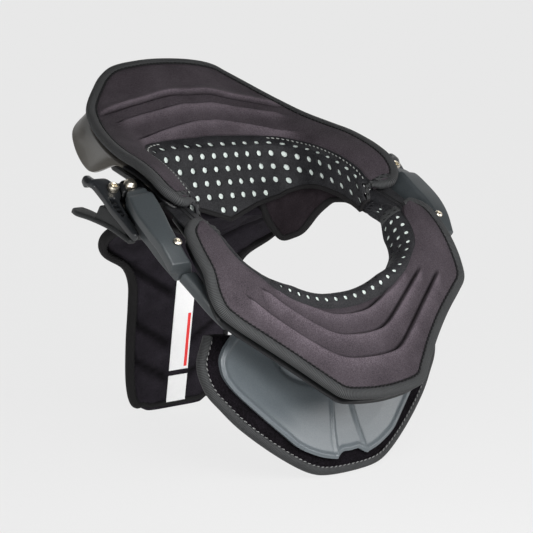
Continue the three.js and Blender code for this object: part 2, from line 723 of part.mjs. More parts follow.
// Chest pieces: leaning plates that wrap back a little round the body
const chestFace = (x, z) => CHEST_FACE_Y + CHEST_LEAN * z + CHEST_CURVE * x * x;
const bothSides = (rows) => [...rows.slice(1).reverse().map((r) => ({ ...r, x: -r.x })), ...rows];
function chestLayer(rows, levels, front, rear) {
  return skin(bothSides(rows).map((r) => {
    const at = (level, off) => {
      const z = r.low + (r.high - r.low) * level;
      return vec(r.x, chestFace(r.x, z) + off, z);
    };
    return [...levels.map((level) => at(level, -front(r.x, level))), at(1, -rear), at(0, -rear)];
  }));
}
function chestPad() {
  return chestLayer(CHEST_PAD_ROWS, [0, 1], () => 0, -CLOTH_PAD_THICK);
}

// Binding of the chest pad: down one side from under the table, along the bottom and up the other
function chestBinding() {
  const shoulder = CHEST_PAD_ROWS.find((r) => r.high === Math.max(...CHEST_PAD_ROWS.map((q) => q.high)));
  const outer = CHEST_PAD_ROWS.filter((r) => r.x >= shoulder.x).map((r) => ({ x: r.x, z: r.high }));
  const lower = CHEST_PAD_ROWS.slice(1).reverse().map((r) => ({ x: r.x, z: r.low }));
  const right = [...outer, ...lower];
  const left = [...right].reverse().map(({ x, z }) => ({ x: -x, z }));
  const path = [...right, ...left].map(({ x, z }) => vec(x, chestFace(x, z) + CLOTH_PAD_THICK / 2, z));
  return bead(path, path.map(() => vec(0, -1, 0)), BINDING_WIDE, CLOTH_PAD_THICK + 1, -1);
}

// Chest plate: raised rim along its edge and two ridges beside the middle
const PLATE_THICK = 3.6;
const PLATE_RELIEF = 1.6;
const PLATE_LEVELS = { rim: 0.05, foot: 0.12 };
const PLATE_RIDGE_X = 14.5;
function chestPlate() {
  const raised = (x, level) => level === PLATE_LEVELS.rim || (Math.abs(x) === PLATE_RIDGE_X && level < 1);
  const front = (x, level) => GAP + PLATE_THICK + (raised(x, level) ? PLATE_RELIEF : 0);
  return chestLayer(CHEST_PLATE_ROWS, [0, PLATE_LEVELS.rim, PLATE_LEVELS.foot, 1], front, GAP);
}

// Bracket between the chest pieces and the underside of the front plate
function chestBracket() {
  return skin([-BRACKET_HALF, BRACKET_HALF].map((x) => BRACKET_SIDE.map(({ y, z }) => vec(x, y, z))));
}

// Finishes
const finish = (color, roughness, metalness = 0) => new THREE.MeshStandardMaterial({ color, roughness, metalness });
const FABRIC = finish(0x4a4448, 0.9);
const TAPE = finish(0x3a3d3e, 0.85);
const LINER = finish(0x232526, 0.8);
const FOAM = finish(0xc9d0cc, 0.95);
const SLATE = finish(0x41484c, 0.45);
const BLACK = finish(0x161718, 0.4);
const GREY_GLOSS = finish(0x5a5953, 0.3);
const QUILT = finish(0x1b1920, 0.9);
const NICKEL = finish(0xd8d0bd, 0.25, 1);
const RUBBER = finish(0x303234, 0.7);
const WHITE_CLOTH = finish(0xf0eeee, 0.85);

const part = new THREE.Group();
const upright = new THREE.Group();
upright.position.y = CENTRE_SHIFT;
part.add(upright);
const ring = new THREE.Group();
ring.position.set(0, RING_Y, RING_HEIGHT);
ring.rotation.x = RING_PITCH;
upright.add(ring);

function place(parent, name, geometry, material) {
  const mesh = new THREE.Mesh(geometry, material);
  mesh.name = name;
  parent.add(mesh);
}
// The same piece on the wearer's left, as drawn, and mirrored on the right
function placeBoth(parent, name, geometry, material) {
  place(parent, `${name}_left`, geometry, material);
  place(parent, `${name}_right`, mirrorX(geometry), material);
}

const rear = tableSurface(REAR_ROWS, 1);
const front = tableSurface(FRONT_ROWS, -1);
const frontNeck = mirroredCurve(FRONT_NECK_ROWS.map((r) => vec(r.x, r.y, r.n)));
const sideFlange = (y) => ({ out: lookUp(FLANGE_ROWS, 'y', 'out', y), down: lookUp(FLANGE_ROWS, 'y', 'down', y) });
const plainEdge = () => FLANGE_ROWS[0];
const REAR_PAD_INSET = LINER_THICK + WALL_THICK + 5 * GAP;
const FRONT_PAD_INSET = 1.2;
const PAD_ACROSS = 14; // steps across a table pad
const REAR_STATIONS = 2 * (REAR_ROWS.length - 1);
const FRONT_STATIONS = 2 * (FRONT_ROWS.length - 1);

// Rear half
place(ring, 'rear_table_pad', tablePad(rear, rearRelief, REAR_PAD_INSET, REAR_STATIONS, PAD_ACROSS), FABRIC);
place(ring, 'rear_table_binding', tableBinding(rear, REAR_PAD_INSET, REAR_STATIONS), TAPE);
place(ring, 'rear_shell', tableShell(rear, sideFlange, 2 * REAR_PAD_INSET, REAR_STATIONS), GREY_GLOSS);
const rearSkin = rearNeckLayer(rear, 0, LINER_THICK);
place(ring, 'rear_neck_liner', cut(rearSkin, rearPunches(rear)), LINER);
place(ring, 'rear_neck_wall', rearNeckLayer(rear, LINER_THICK + GAP, LINER_THICK + GAP + WALL_THICK), FOAM);
placeBoth(ring, 'rear_arm', rearArm(), BLACK);
placeBoth(ring, 'pivot_rivet', pivotRivet(), NICKEL);
placeBoth(ring, 'shoulder_pad', shoulderPad(rear), QUILT);
place(upright, 'back_pad', backPad(), QUILT);
place(upright, 'back_binding', backBinding(), TAPE);
place(upright, 'back_strut', backStrut(), BLACK);
place(upright, 'label_long', backLabel(LONG_LABEL), WHITE_CLOTH);
place(upright, 'label_short', backLabel(SHORT_LABEL), WHITE_CLOTH);

// Front half
const bridge = bar(BRIDGE_ROWS, THIN_CHAMFER);
const frontPlate = join(tableShell(front, plainEdge, 3, FRONT_STATIONS), bridge, mirrorX(bridge));
place(ring, 'front_table_pad', tablePad(front, frontRelief, FRONT_PAD_INSET, FRONT_STATIONS, PAD_ACROSS), FABRIC);
place(ring, 'front_table_binding', tableBinding(front, FRONT_PAD_INSET, FRONT_STATIONS), TAPE);
place(ring, 'front_shell', frontPlate, BLACK);
place(ring, 'front_neck_liner', cut(frontRoll(frontNeck, [...ROLL_FACE, ...ROLL_BACK]), frontPunches(frontNeck)), LINER);
place(ring, 'front_neck_wall', frontRoll(frontNeck, ROLL_FILL), FOAM);
placeBoth(ring, 'arm_cover', armCover(), SLATE);
placeBoth(ring, 'arm_screw', armScrew(), NICKEL);
placeBoth(ring, 'front_arm', bar(FRONT_ARM_ROWS, ARM_CHAMFER), SLATE);
placeBoth(ring, 'latch_base', latchBase(), BLACK);
place(upright, 'chest_plate', chestPlate(), SLATE);
place(upright, 'chest_pad', chestPad(), QUILT);
place(upright, 'chest_binding', chestBinding(), TAPE);
place(upright, 'chest_bracket', chestBracket(), BLACK);

// Latches
placeBoth(ring, 'latch_lever', latchLever(), RUBBER);
placeBoth(ring, 'latch_screw', latchScrew(), NICKEL);
placeBoth(ring, 'pull_tab', bar(TAB_ROWS, THIN_CHAMFER), RUBBER);

export default part;
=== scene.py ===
# %% [markdown]
# A karting neck brace, dressed in its cloth, tape, foam and plastic.
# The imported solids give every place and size. This lesson works out the fine surfaces with numpy,
# gives each one a finish made of nodes, and sets up the camera and a soft studio.

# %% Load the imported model
import json
import math

import bmesh
import bpy
import numpy as np
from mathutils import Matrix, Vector


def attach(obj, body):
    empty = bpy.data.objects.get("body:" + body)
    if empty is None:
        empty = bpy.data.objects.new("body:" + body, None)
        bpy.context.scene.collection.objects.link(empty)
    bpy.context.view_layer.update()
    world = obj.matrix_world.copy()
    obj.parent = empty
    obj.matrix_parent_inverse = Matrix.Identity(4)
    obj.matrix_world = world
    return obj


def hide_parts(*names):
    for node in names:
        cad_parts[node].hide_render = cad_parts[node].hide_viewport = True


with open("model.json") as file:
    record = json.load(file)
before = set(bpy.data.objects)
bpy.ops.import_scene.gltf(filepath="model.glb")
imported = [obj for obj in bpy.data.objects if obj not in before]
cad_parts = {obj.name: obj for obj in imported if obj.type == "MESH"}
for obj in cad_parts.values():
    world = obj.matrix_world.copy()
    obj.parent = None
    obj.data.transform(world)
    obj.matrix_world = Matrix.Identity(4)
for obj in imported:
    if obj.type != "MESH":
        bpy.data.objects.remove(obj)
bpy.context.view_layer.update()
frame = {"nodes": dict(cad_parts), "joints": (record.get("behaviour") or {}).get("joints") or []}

# %% [markdown]
# The brace is a ring that leans forward, high behind the neck and low on the chest. Points on the ring
# are easiest to give in the ring's own directions: x to the wearer's left, y to the rear, n off the ring.
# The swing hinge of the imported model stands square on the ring, so its axis and place give the frame.

# %% The ring's own frame
MM = 0.001
# The hinge's x, y and n on the ring, and how far the upright pieces lie from the part's origin (mm)
HINGE_ON_RING = np.array([126.0, 32.0, 7.0])
UPRIGHT_SHIFT = np.array([0.0, 0.575, 0.0])
hinge = {joint["name"]: joint for joint in frame["joints"]}["front_swing"]
ring_up = np.array(hinge["axis"]) / np.linalg.norm(hinge["axis"])
ring_back = np.array([0.0, ring_up[2], -ring_up[1]])
ring_axes = np.array([[1.0, 0.0, 0.0], ring_back, ring_up])
ring_origin = np.array(hinge["pos_m"]) - HINGE_ON_RING @ ring_axes * MM


def on_ring(points):
    """Ring millimetres to metres: the origin plus x, y and n times the ring's three directions."""
    return ring_origin + points @ ring_axes * MM


def upright(points):
    """Millimetres in the part's own directions to metres."""
    return (points + UPRIGHT_SHIFT) * MM


print("ring origin (m):", ring_origin.round(4))

# %% [markdown]
# The camera comes early, because every later choice is judged through it. A long lens from the front
# right of the wearer, a little above the ring, gives the flat perspective of a catalogue picture.

# %% Camera
VIEW_TURN = math.radians(36.76)
VIEW_DROP = math.radians(9.54)
CAMERA_AT = (-0.72496, -0.97462, 0.3515)
PICTURE_SIDE = 533
FOCAL_PIXELS = 1500
SENSOR = 36.0

camera_data = bpy.data.cameras.new("camera")
camera_data.sensor_width = SENSOR
camera_data.lens = FOCAL_PIXELS / PICTURE_SIDE * SENSOR
camera = bpy.data.objects.new("camera", camera_data)
camera.location = CAMERA_AT
camera.rotation_euler = (math.pi / 2 - VIEW_DROP, 0, -VIEW_TURN)
bpy.context.scene.collection.objects.link(camera)
bpy.context.scene.camera = camera
print("lens (mm):", round(camera_data.lens, 1))

# %% [markdown]
# Nearly every piece here is a smooth surface through a few measured sections. Blender's own curves could
# carry them, but their points can't be reckoned with, so the first helpers are a curve in numpy that passes
# through its knots, and the small sums that go with it.

# %% Curves through knots
TINY = 1e-9


def smooth_curve(knots, t):
    """Centripetal Catmull-Rom: between two knots a cubic whose end slopes come from the neighbouring knots,
    each knot interval being the square root of its length. t runs from 0 to 1 over all knots, and a knot
    may be one point or a whole row of points."""
    knots = np.asarray(knots, float)
    last = len(knots) - 1
    place = np.clip(np.asarray(t, float) * last, 0, last - TINY)
    index = place.astype(int)
    w = (place - index).reshape(index.shape + (1,) * (knots.ndim - 1))
    longer = np.concatenate([2 * knots[:1] - knots[1:2], knots, 2 * knots[-1:] - knots[-2:-1]])
    p0, p1, p2, p3 = (longer[index + k] for k in range(4))
    step = [np.sqrt(np.linalg.norm(b - a, axis=-1, keepdims=True) + TINY)
            for a, b in ((p0, p1), (p1, p2), (p2, p3))]
    slope1 = (p1 - p0) / step[0] - (p2 - p0) / (step[0] + step[1]) + (p2 - p1) / step[1]
    slope2 = (p2 - p1) / step[1] - (p3 - p1) / (step[1] + step[2]) + (p3 - p2) / step[2]
    m1, m2 = slope1 * step[1], slope2 * step[1]
    return p1 + m1 * w + (3 * (p2 - p1) - 2 * m1 - m2) * w**2 + (2 * (p1 - p2) + m1 + m2) * w**3


def closed_curve(knots, count):
    """A smooth closed loop of count points: knots are repeated past both ends, and one lap is kept."""
    knots = np.asarray(knots, float)
    before, after = 3, 4
    looped = np.vstack([knots[-before:], knots, knots[:after]])
    t = (before + len(knots) * np.arange(count) / count) / (len(looped) - 1)
    return smooth_curve(looped, t)


def mirrored(rows):
    """Rows from one side to the middle, followed by their mirror images back out to the other side."""
    rows = np.asarray(rows, float)
    others = rows[:-1][::-1].copy()
    others[:, 0] *= -1
    return np.vstack([rows, others])


print("halfway between two knots:", smooth_curve([(0, 0), (2, 4)], 0.5))


# %% Lengths, steps and directions
def running_length(points):
    """Length along a row of points, from 0 at the first."""
    steps = np.linalg.norm(np.diff(points, axis=0), axis=1)
    return np.concatenate([[0.0], np.cumsum(steps)])


def even_places(points, values, count):
    """Values that go with points, read again at count places evenly spaced along them."""
    run = running_length(points)
    wanted = np.linspace(0, run[-1], count)
    return np.stack([np.interp(wanted, run, column) for column in values.T], axis=1)


def ease(v):
    """Smooth step from 0 to 1."""
    v = np.clip(v, 0, 1)
    return v * v * (3 - 2 * v)


def unit(v):
    """Vectors scaled to length one."""
    return v / np.maximum(np.linalg.norm(v, axis=-1, keepdims=True), TINY)


def together(*parts):
    """Arrays stretched to one shape and stacked as the coordinates of points."""
    return np.stack(np.broadcast_arrays(*parts), axis=-1)


print("length of a 3 by 4 diagonal:", running_length(np.array([(0, 0), (3, 4)]))[-1])


# %% Faces over a grid
def grid_faces(rows, columns, wrap=False):
    """Quads over a grid of points numbered row by row; with wrap, the last column joins the first."""
    across = np.arange(columns if wrap else columns - 1)
    down = np.arange(rows - 1)[:, None]
    nearby = (across + 1) % columns
    corners = [down * columns + across, down * columns + nearby,
               (down + 1) * columns + nearby, (down + 1) * columns + across]
    return np.stack(corners, axis=-1).reshape(-1, 4).tolist()


def loft_faces(rows, columns):
    """Quads round closed loops of points, with one flat cap on the first loop and one on the last."""
    first = list(range(columns))
    last = [(rows - 1) * columns + k for k in range(columns)]
    return grid_faces(rows, columns, wrap=True) + [first[::-1], last]


print("quads on a grid of 3 by 4:", len(grid_faces(3, 4)))

# %% [markdown]
# The studio: a pale sheet that runs from the floor up behind the brace in one bend, so that no horizon
# shows. It glows a little, as a lit paper roll does, which keeps the picture's ground even.

# %% Studio sheet
FLOOR_NEAR, FLOOR_FAR, SWEEP, WALL_TOP, SHEET_HALF = -4.0, 2.2, 1.2, 5.0, 6.0
BEND_STEPS, SHEET_STEPS = 24, 12
WHITE = (1, 1, 1, 1)
PAPER_SHADE, PAPER_GLOW, PAPER_ROUGH = 0.06, 0.79, 0.95


def set_inputs(node, **values):
    """Sets a node's inputs by name; an underscore in a name stands for a space."""
    for name, value in values.items():
        node.inputs[name.replace("_", " ")].default_value = value
    return node


def pale_paper():
    """Matt paper with a glow of its own."""
    paper = bpy.data.materials.new("pale_paper")
    paper.use_nodes = True
    shade = (PAPER_SHADE, PAPER_SHADE, PAPER_SHADE, 1)
    set_inputs(paper.node_tree.nodes["Principled BSDF"], Base_Color=shade, Roughness=PAPER_ROUGH,
               Specular_IOR_Level=0.0, Emission_Color=WHITE, Emission_Strength=PAPER_GLOW)
    return paper


def studio_sheet():
    """A profile of floor, quarter bend and wall, carried straight across the view."""
    bend = np.linspace(0, math.pi / 2, BEND_STEPS)
    ways = np.concatenate([[FLOOR_NEAR], FLOOR_FAR + SWEEP * np.sin(bend), [FLOOR_FAR + SWEEP]])
    heights = np.concatenate([[0.0], SWEEP * (1 - np.cos(bend)), [WALL_TOP]])
    sides = np.linspace(-SHEET_HALF, SHEET_HALF, SHEET_STEPS)
    right = np.array([math.cos(VIEW_TURN), -math.sin(VIEW_TURN), 0])
    away = np.array([math.sin(VIEW_TURN), math.cos(VIEW_TURN), 0])
    points = sides[None, :, None] * right + ways[:, None, None] * away
    points[..., 2] = heights[:, None]
    mesh = bpy.data.meshes.new("studio_sheet")
    mesh.from_pydata(points.reshape(-1, 3).tolist(), [], grid_faces(*points.shape[:2]))
    mesh.polygons.foreach_set("use_smooth", np.ones(len(mesh.polygons), bool))
    mesh.materials.append(pale_paper())
    sheet = bpy.data.objects.new("studio_sheet", mesh)
    bpy.context.scene.collection.objects.link(sheet)
    print("studio sheet faces:", len(mesh.polygons))


studio_sheet()

# %% [markdown]
# The lights are square soft boxes, all aimed at the middle of the brace. A near one stands over the front
# table, as in the picture; wide ones fill the chest plate and the spine from each side, and a weak one
# reaches the back. A dim sky lifts the shadows. Small lamps would draw hard shadows on the cloth.

# %% Soft lights
# Columns: name, place (m), watts, side of the square (m)
LIGHTS = [
    ("key_light", (-0.16, -0.46, 0.36), 2.85, 0.3),
    ("plate_light", (0.75, -1.0, 0.45), 7, 0.6),
    ("label_light", (-0.95, -0.6, 0.12), 5, 0.5),
    ("rear_light", (0.9, 1.1, 1.2), 2, 0.8),
]
LIGHTS_AIM = Vector((0.0, -0.03, 0.17))
SKY_STRENGTH = 0.04

for light_name, place, watts, side in LIGHTS:
    lamp = bpy.data.lights.new(light_name, "AREA")
    lamp.energy = watts
    lamp.size = side
    light = bpy.data.objects.new(light_name, lamp)
    light.location = place
    light.visible_camera = False
    light.rotation_euler = (LIGHTS_AIM - Vector(place)).to_track_quat("-Z", "Y").to_euler()
    bpy.context.scene.collection.objects.link(light)

sky = bpy.data.worlds.new("studio_sky")
sky.use_nodes = True
set_inputs(sky.node_tree.nodes["Background"], Color=WHITE, Strength=SKY_STRENGTH)
bpy.context.scene.world = sky
bpy.context.scene.view_settings.view_transform = "Standard"
print("lights:", len(LIGHTS))

# %% [markdown]
# Finishes. Every one is a small node tree on Object coordinates: two sizes of noise vary the colour, the
# slow one also moves the roughness, and a bump gives the grain. Pictures could do it too, but they blur up
# close and need flattened surfaces. The numbers that are the same all over are set on the shader itself.

# %% A finish from grain and mottle
GRAIN_DETAIL, GRAIN_ROUGH = 3.0, 0.65
MOTTLE_DETAIL, MOTTLE_SHARE = 4.0, 0.3
RAMP_DARK, RAMP_LIGHT = 0.34, 0.66
WEAR = 0.07
RIB_SHARE, RIB_WANDER, RIB_DETAIL = 0.6, 0.6, 1.0
# Waves to the unit in a wave texture of scale 1
WAVES_PER_SCALE = 3.14


def add_node(tree, kind, **values):
    """A new node with its named inputs set."""
    return set_inputs(tree.nodes.new(kind), **values)


def colour_ramp(tree, dark, light):
    """Dark below the middle of the noise, light above it."""
    ramp = tree.nodes.new("ShaderNodeValToRGB")
    for stop, place, colour in zip(ramp.color_ramp.elements, (RAMP_DARK, RAMP_LIGHT), (dark, light)):
        stop.position = place
        stop.color = (*colour, 1)
    return ramp


def woven_ribs(tree, place, fine, ribs):
    """Waves across the UV map's first direction, so many to the metre, mixed over the fine grain."""
    weave = add_node(tree, "ShaderNodeTexWave", Scale=ribs / WAVES_PER_SCALE, Distortion=RIB_WANDER,
                     Detail=RIB_DETAIL)
    woven = add_node(tree, "ShaderNodeMix", Factor=RIB_SHARE)
    tree.links.new(place.outputs["UV"], weave.inputs["Vector"])
    tree.links.new(fine.outputs["Fac"], woven.inputs["A"])
    tree.links.new(weave.outputs["Fac"], woven.inputs["B"])
    return woven.outputs["Result"]


def grained(name, dark, light, grain, mottle, rough, bump,
            metal=0.0, shine=0.5, coat=0.0, depth=0.0004, ribs=0):
    """Colour runs from dark to light with fine grain over a slow mottle, both in noises to the metre. The
    grain, with its ribs if it has any, lifts the surface by depth (m)."""
    made = bpy.data.materials.new(name)
    made.use_nodes = True
    tree = made.node_tree
    link = tree.links.new
    shader = tree.nodes["Principled BSDF"]
    place = tree.nodes.new("ShaderNodeTexCoord")
    fine = add_node(tree, "ShaderNodeTexNoise", Scale=grain, Detail=GRAIN_DETAIL, Roughness=GRAIN_ROUGH)
    slow = add_node(tree, "ShaderNodeTexNoise", Scale=mottle, Detail=MOTTLE_DETAIL)
    both = add_node(tree, "ShaderNodeMix", Factor=MOTTLE_SHARE)
    ramp = colour_ramp(tree, dark, light)
    wear = add_node(tree, "ShaderNodeMapRange", To_Min=rough - WEAR, To_Max=rough + WEAR)
    relief = add_node(tree, "ShaderNodeBump", Strength=bump, Distance=depth)
    link(place.outputs["Object"], fine.inputs["Vector"])
    link(place.outputs["Object"], slow.inputs["Vector"])
    surface = woven_ribs(tree, place, fine, ribs) if ribs else fine.outputs["Fac"]
    link(surface, both.inputs["A"])
    link(slow.outputs["Fac"], both.inputs["B"])
    link(both.outputs["Result"], ramp.inputs["Fac"])
    link(ramp.outputs["Color"], shader.inputs["Base Color"])
    link(slow.outputs["Fac"], wear.inputs["Value"])
    link(wear.outputs["Result"], shader.inputs["Roughness"])
    link(surface, relief.inputs["Height"])
    link(relief.outputs["Normal"], shader.inputs["Normal"])
    set_inputs(shader, Metallic=metal, Specular_IOR_Level=shine, Coat_Weight=coat)
    return made


# %% [markdown]
# The cloths: warm charcoal neoprene on the tables, blacker cloth on the quilted pads, loop pile on the chest
# pad, and the perforated skin over its pale foam. They hardly shine, and a fine grain stands for the knit.

# %% Cloth, skin and foam
TABLE_CLOTH = grained("table_cloth", (0.024, 0.019, 0.023), (0.088, 0.073, 0.085),
                      grain=1250, mottle=40, rough=0.9, bump=0.5, shine=0.15)
QUILTED_CLOTH = grained("quilted_cloth", (0.003, 0.002, 0.004), (0.018, 0.015, 0.021),
                        grain=1500, mottle=60, rough=0.85, bump=0.6, shine=0.08)
BACK_CLOTH = grained("back_cloth", (0.006, 0.005, 0.007), (0.036, 0.031, 0.040),
                     grain=1500, mottle=60, rough=0.85, bump=0.6, shine=0.08)
SHOULDER_CLOTH = grained("shoulder_cloth", (0.006, 0.004, 0.005), (0.026, 0.020, 0.024),
                         grain=1300, mottle=60, rough=0.85, bump=0.6, shine=0.1)
LOOP_PILE = grained("loop_pile", (0.001, 0.001, 0.001), (0.011, 0.009, 0.012),
                    grain=800, mottle=60, rough=0.95, bump=1.0, shine=0.06, depth=0.0012)
PERFORATED_SKIN = grained("perforated_skin", (0.003, 0.003, 0.004), (0.030, 0.030, 0.033),
                          grain=900, mottle=70, rough=0.6, bump=0.7, shine=0.2)
PALE_FOAM = grained("pale_foam", (0.50, 0.58, 0.54), (0.80, 0.86, 0.83),
                    grain=700, mottle=50, rough=0.9, bump=0.4, shine=0.2)

# %% [markdown]
# The tapes are woven, and their ribs cross the tape, so they follow a UV map along its length. The threads
# are finer and have no ribs: at their size the shape of the stitch says enough.

# %% Tape and thread
EDGE_TAPE = grained("edge_tape", (0.012, 0.012, 0.013), (0.050, 0.052, 0.053),
                    grain=1400, mottle=60, rough=0.7, bump=0.7, shine=0.3, ribs=900)
PAD_BINDING = grained("pad_binding", (0.003, 0.003, 0.003), (0.016, 0.015, 0.016),
                      grain=1400, mottle=60, rough=0.8, bump=0.7, shine=0.2, ribs=900)
THREAD = grained("thread", (0.002, 0.002, 0.002), (0.008, 0.008, 0.009),
                 grain=2500, mottle=80, rough=0.7, bump=0.5, shine=0.2)
PALE_THREAD = grained("pale_thread", (0.20, 0.21, 0.20), (0.42, 0.44, 0.42),
                      grain=2500, mottle=80, rough=0.7, bump=0.4)
GREY_THREAD = grained("grey_thread", (0.10, 0.10, 0.10), (0.24, 0.24, 0.24),
                      grain=2500, mottle=80, rough=0.7, bump=0.4)

# %% [markdown]
# The hard pieces: a smooth glossy shell, black and slate mouldings with a fine spark-eroded grain, rubber
# tabs, and nickel on the screws. Here the roughness does most of the work, so the colours stay close.

# %% Plastic, rubber and metal
GLOSS_SHELL = grained("gloss_shell", (0.100, 0.094, 0.082), (0.114, 0.107, 0.094),
                      grain=400, mottle=12, rough=0.3, bump=0.02, coat=0.2)
BLACK_PLASTIC = grained("black_plastic", (0.004, 0.004, 0.005), (0.010, 0.011, 0.012),
                        grain=900, mottle=40, rough=0.38, bump=0.12, shine=0.35)
SLATE_PLASTIC = grained("slate_plastic", (0.026, 0.031, 0.034), (0.042, 0.049, 0.053),
                        grain=1200, mottle=35, rough=0.42, bump=0.14)
PLATE_PLASTIC = grained("plate_plastic", (0.085, 0.100, 0.110), (0.120, 0.138, 0.150),
                        grain=1300, mottle=30, rough=0.36, bump=0.16)
LEVER_PLASTIC = grained("lever_plastic", (0.010, 0.011, 0.013), (0.020, 0.022, 0.024),
                        grain=1000, mottle=40, rough=0.34, bump=0.12)
TAB_RUBBER = grained("tab_rubber", (0.008, 0.009, 0.009), (0.022, 0.023, 0.024),
                     grain=1100, mottle=50, rough=0.55, bump=0.3, shine=0.35)
NICKEL = grained("nickel", (0.72, 0.66, 0.54), (0.80, 0.75, 0.65),
                 grain=300, mottle=60, rough=0.36, bump=0.0, metal=1.0)

# %% [markdown]
# Where foam is pressed into ribs or sewn into channels, its colour is painted darker down in a crease, as
# painted shade, and paler on a ridge, as painted highlight. The shape alone gives too little of that
# shading, so each pressed piece carries a value at every point, and its finish scales the colour by it. Bump
# can't do this, because it only bends the light.

# %% Painted shade in creases, painted highlight on ridges
PAINTED_CREASE_SHADE, PAINTED_RIDGE_HIGHLIGHT = 0.85, 0.42


def paint_crease_shade_and_ridge_highlight(finish):
    """Scales the cloth's colour by its own attribute pressed: below 1 in a crease, as painted shade, and
    above 1 on a ridge, as painted highlight.
    """
    tree = finish.node_tree
    colour = tree.nodes["Principled BSDF"].inputs["Base Color"]
    cloth = colour.links[0].from_socket
    pressed = tree.nodes.new("ShaderNodeAttribute")
    pressed.attribute_name = "pressed"
    gain = add_node(tree, "ShaderNodeMapRange", From_Min=-1,
                    To_Min=1 - PAINTED_CREASE_SHADE, To_Max=1 + PAINTED_RIDGE_HIGHLIGHT)
    scaled = tree.nodes.new("ShaderNodeVectorMath")
    scaled.operation = "SCALE"
    tree.links.new(pressed.outputs["Fac"], gain.inputs["Value"])
    tree.links.new(cloth, scaled.inputs[0])
    tree.links.new(gain.outputs["Result"], scaled.inputs["Scale"])
    tree.links.new(scaled.outputs["Vector"], colour)


def set_painted_shade(piece, values):
    """Gives every point of a piece its own value of the attribute pressed, which sets its painted shade and
    painted highlight.
    """
    attribute = piece.data.attributes.new("pressed", "FLOAT", "POINT")
    attribute.data.foreach_set("value", values.ravel())


# The table cloth and the back cloth get painted shade in creases and channels and painted highlight on
# ridges.
for painted_shade_cloth in (TABLE_CLOTH, BACK_CLOTH):
    paint_crease_shade_and_ridge_highlight(painted_shade_cloth)
    print("shaded where pressed:", painted_shade_cloth.name)

# %% [markdown]
# Every new piece ends the same way: points and faces become a mesh, its faces are turned to point outwards,
# and it gets a finish, the body that it rides on and the solid that it stands for. Blender's own buttons
# would do each of these by hand; in one function no piece can miss a step.

# %% Points into pieces
SOFT_ANGLE = math.radians(40)


def set_uv(mesh, uv):
    """A UV map called cloth: each corner of a face takes the place of its point."""
    corners = np.empty(len(mesh.loops), int)
    mesh.loops.foreach_get("vertex_index", corners)
    layer = mesh.uv_layers.new(name="cloth")
    layer.data.foreach_set("uv", np.asarray(uv, float).reshape(-1, 2)[corners].ravel())


def turn_outwards(mesh, merge):
    """Points closer than merge (m) become one, and all faces of a closed shape point outwards."""
    work = bmesh.new()
    work.from_mesh(mesh)
    if merge:
        bmesh.ops.remove_doubles(work, verts=work.verts, dist=merge)
        bmesh.ops.dissolve_degenerate(work, edges=work.edges, dist=merge)
    bmesh.ops.recalc_face_normals(work, faces=work.faces)
    work.to_mesh(mesh)
    work.free()


def turn_towards(mesh, point):
    """An open sheet has no outside: it is flipped if its faces together look away from the point."""
    normals, centres = np.empty((2, len(mesh.polygons) * 3))
    mesh.polygons.foreach_get("normal", normals)
    mesh.polygons.foreach_get("center", centres)
    ways = (np.asarray(point) - centres.reshape(-1, 3)) * normals.reshape(-1, 3)
    if ways.sum() < 0:
        mesh.flip_normals()


def make_piece(name, points, faces, body, finish, stands_for=(), facing=None, merge=0.0, uv=None):
    """A piece from points in metres. facing is the point that an open sheet looks towards."""
    mesh = bpy.data.meshes.new(name)
    mesh.from_pydata(np.asarray(points).reshape(-1, 3).tolist(), [], faces)
    if uv is not None:
        set_uv(mesh, uv)
    turn_outwards(mesh, merge)
    if facing is not None:
        turn_towards(mesh, facing)
    mesh.polygons.foreach_set("use_smooth", np.ones(len(mesh.polygons), bool))
    mesh.set_sharp_from_angle(angle=SOFT_ANGLE)
    piece = bpy.data.objects.new(name, mesh)
    bpy.context.scene.collection.objects.link(piece)
    mesh.materials.append(finish)
    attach(piece, body)
    if stands_for:
        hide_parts(*stands_for)
    print(name, "points:", len(mesh.vertices))
    return piece


def lofted(name, loops, place, body, finish, stands_for=(), uv=None):
    """A closed piece through a row of loops in millimetres, which place turns into metres."""
    faces = loft_faces(*loops.shape[:2])
    return make_piece(name, place(loops), faces, body, finish, stands_for, uv=uv)


# %% [markdown]
# The two tables are the padded surfaces round the neck. Each is ruled between an inner curve, beside the
# neck, and an outer one. The knots are the same as the solids', from the tip of the left arm to the middle.

# %% The tables' outlines
# Columns: inner x, y, n, outer x, y, n (mm on the ring)
REAR_ROWS = [
    (87, 1, 22.5, 110, -3, 31.5), (82.5, 9, 23, 117.5, 6, 33.5), (82, 22, 22.2, 121, 22, 33.5),
    (80.5, 38, 18.6, 122.5, 40, 29), (78.5, 55, 12.5, 124, 58, 22), (75.5, 71, 5, 123, 76, 15),
    (70.5, 85, -3, 118, 97, 6), (61, 94.5, -7.5, 109, 126, -5.5), (45, 97.5, -8.5, 97, 155, -13),
    (30, 97.5, -8.2, 76, 182.5, -14.3), (20, 97.3, -7.8, 65, 194, -13.7), (12, 97.1, -7.6, 54, 200.5, -11),
    (6, 97, -7.5, 30, 203, -6.8), (0, 97, -7.5, 0, 207, -8),
]
FRONT_ROWS = [
    (97, -34, 32, 113, -31, 32.5), (92.5, -42, 31, 120.5, -39, 33), (90, -58, 30, 123.5, -58, 32),
    (85, -71, 28, 123, -78, 29), (77, -80, 25.5, 123.5, -97, 21), (68, -88.5, 21.5, 121, -107.5, 16.8),
    (60, -94, 17.5, 113, -114.5, 12.5), (49, -99.5, 12.5, 95, -128.5, 5.8), (33, -104.2, 8, 69, -151.5, -2),
    (20, -106.2, 5.5, 47, -173.5, -7.6), (13, -106.8, 4.6, 39.5, -181, -8.8),
    (7, -107, 4.2, 29, -184.5, -8.8), (0, -107, 4, 0, -187, -9.5),
]
NUDGE = 0.002


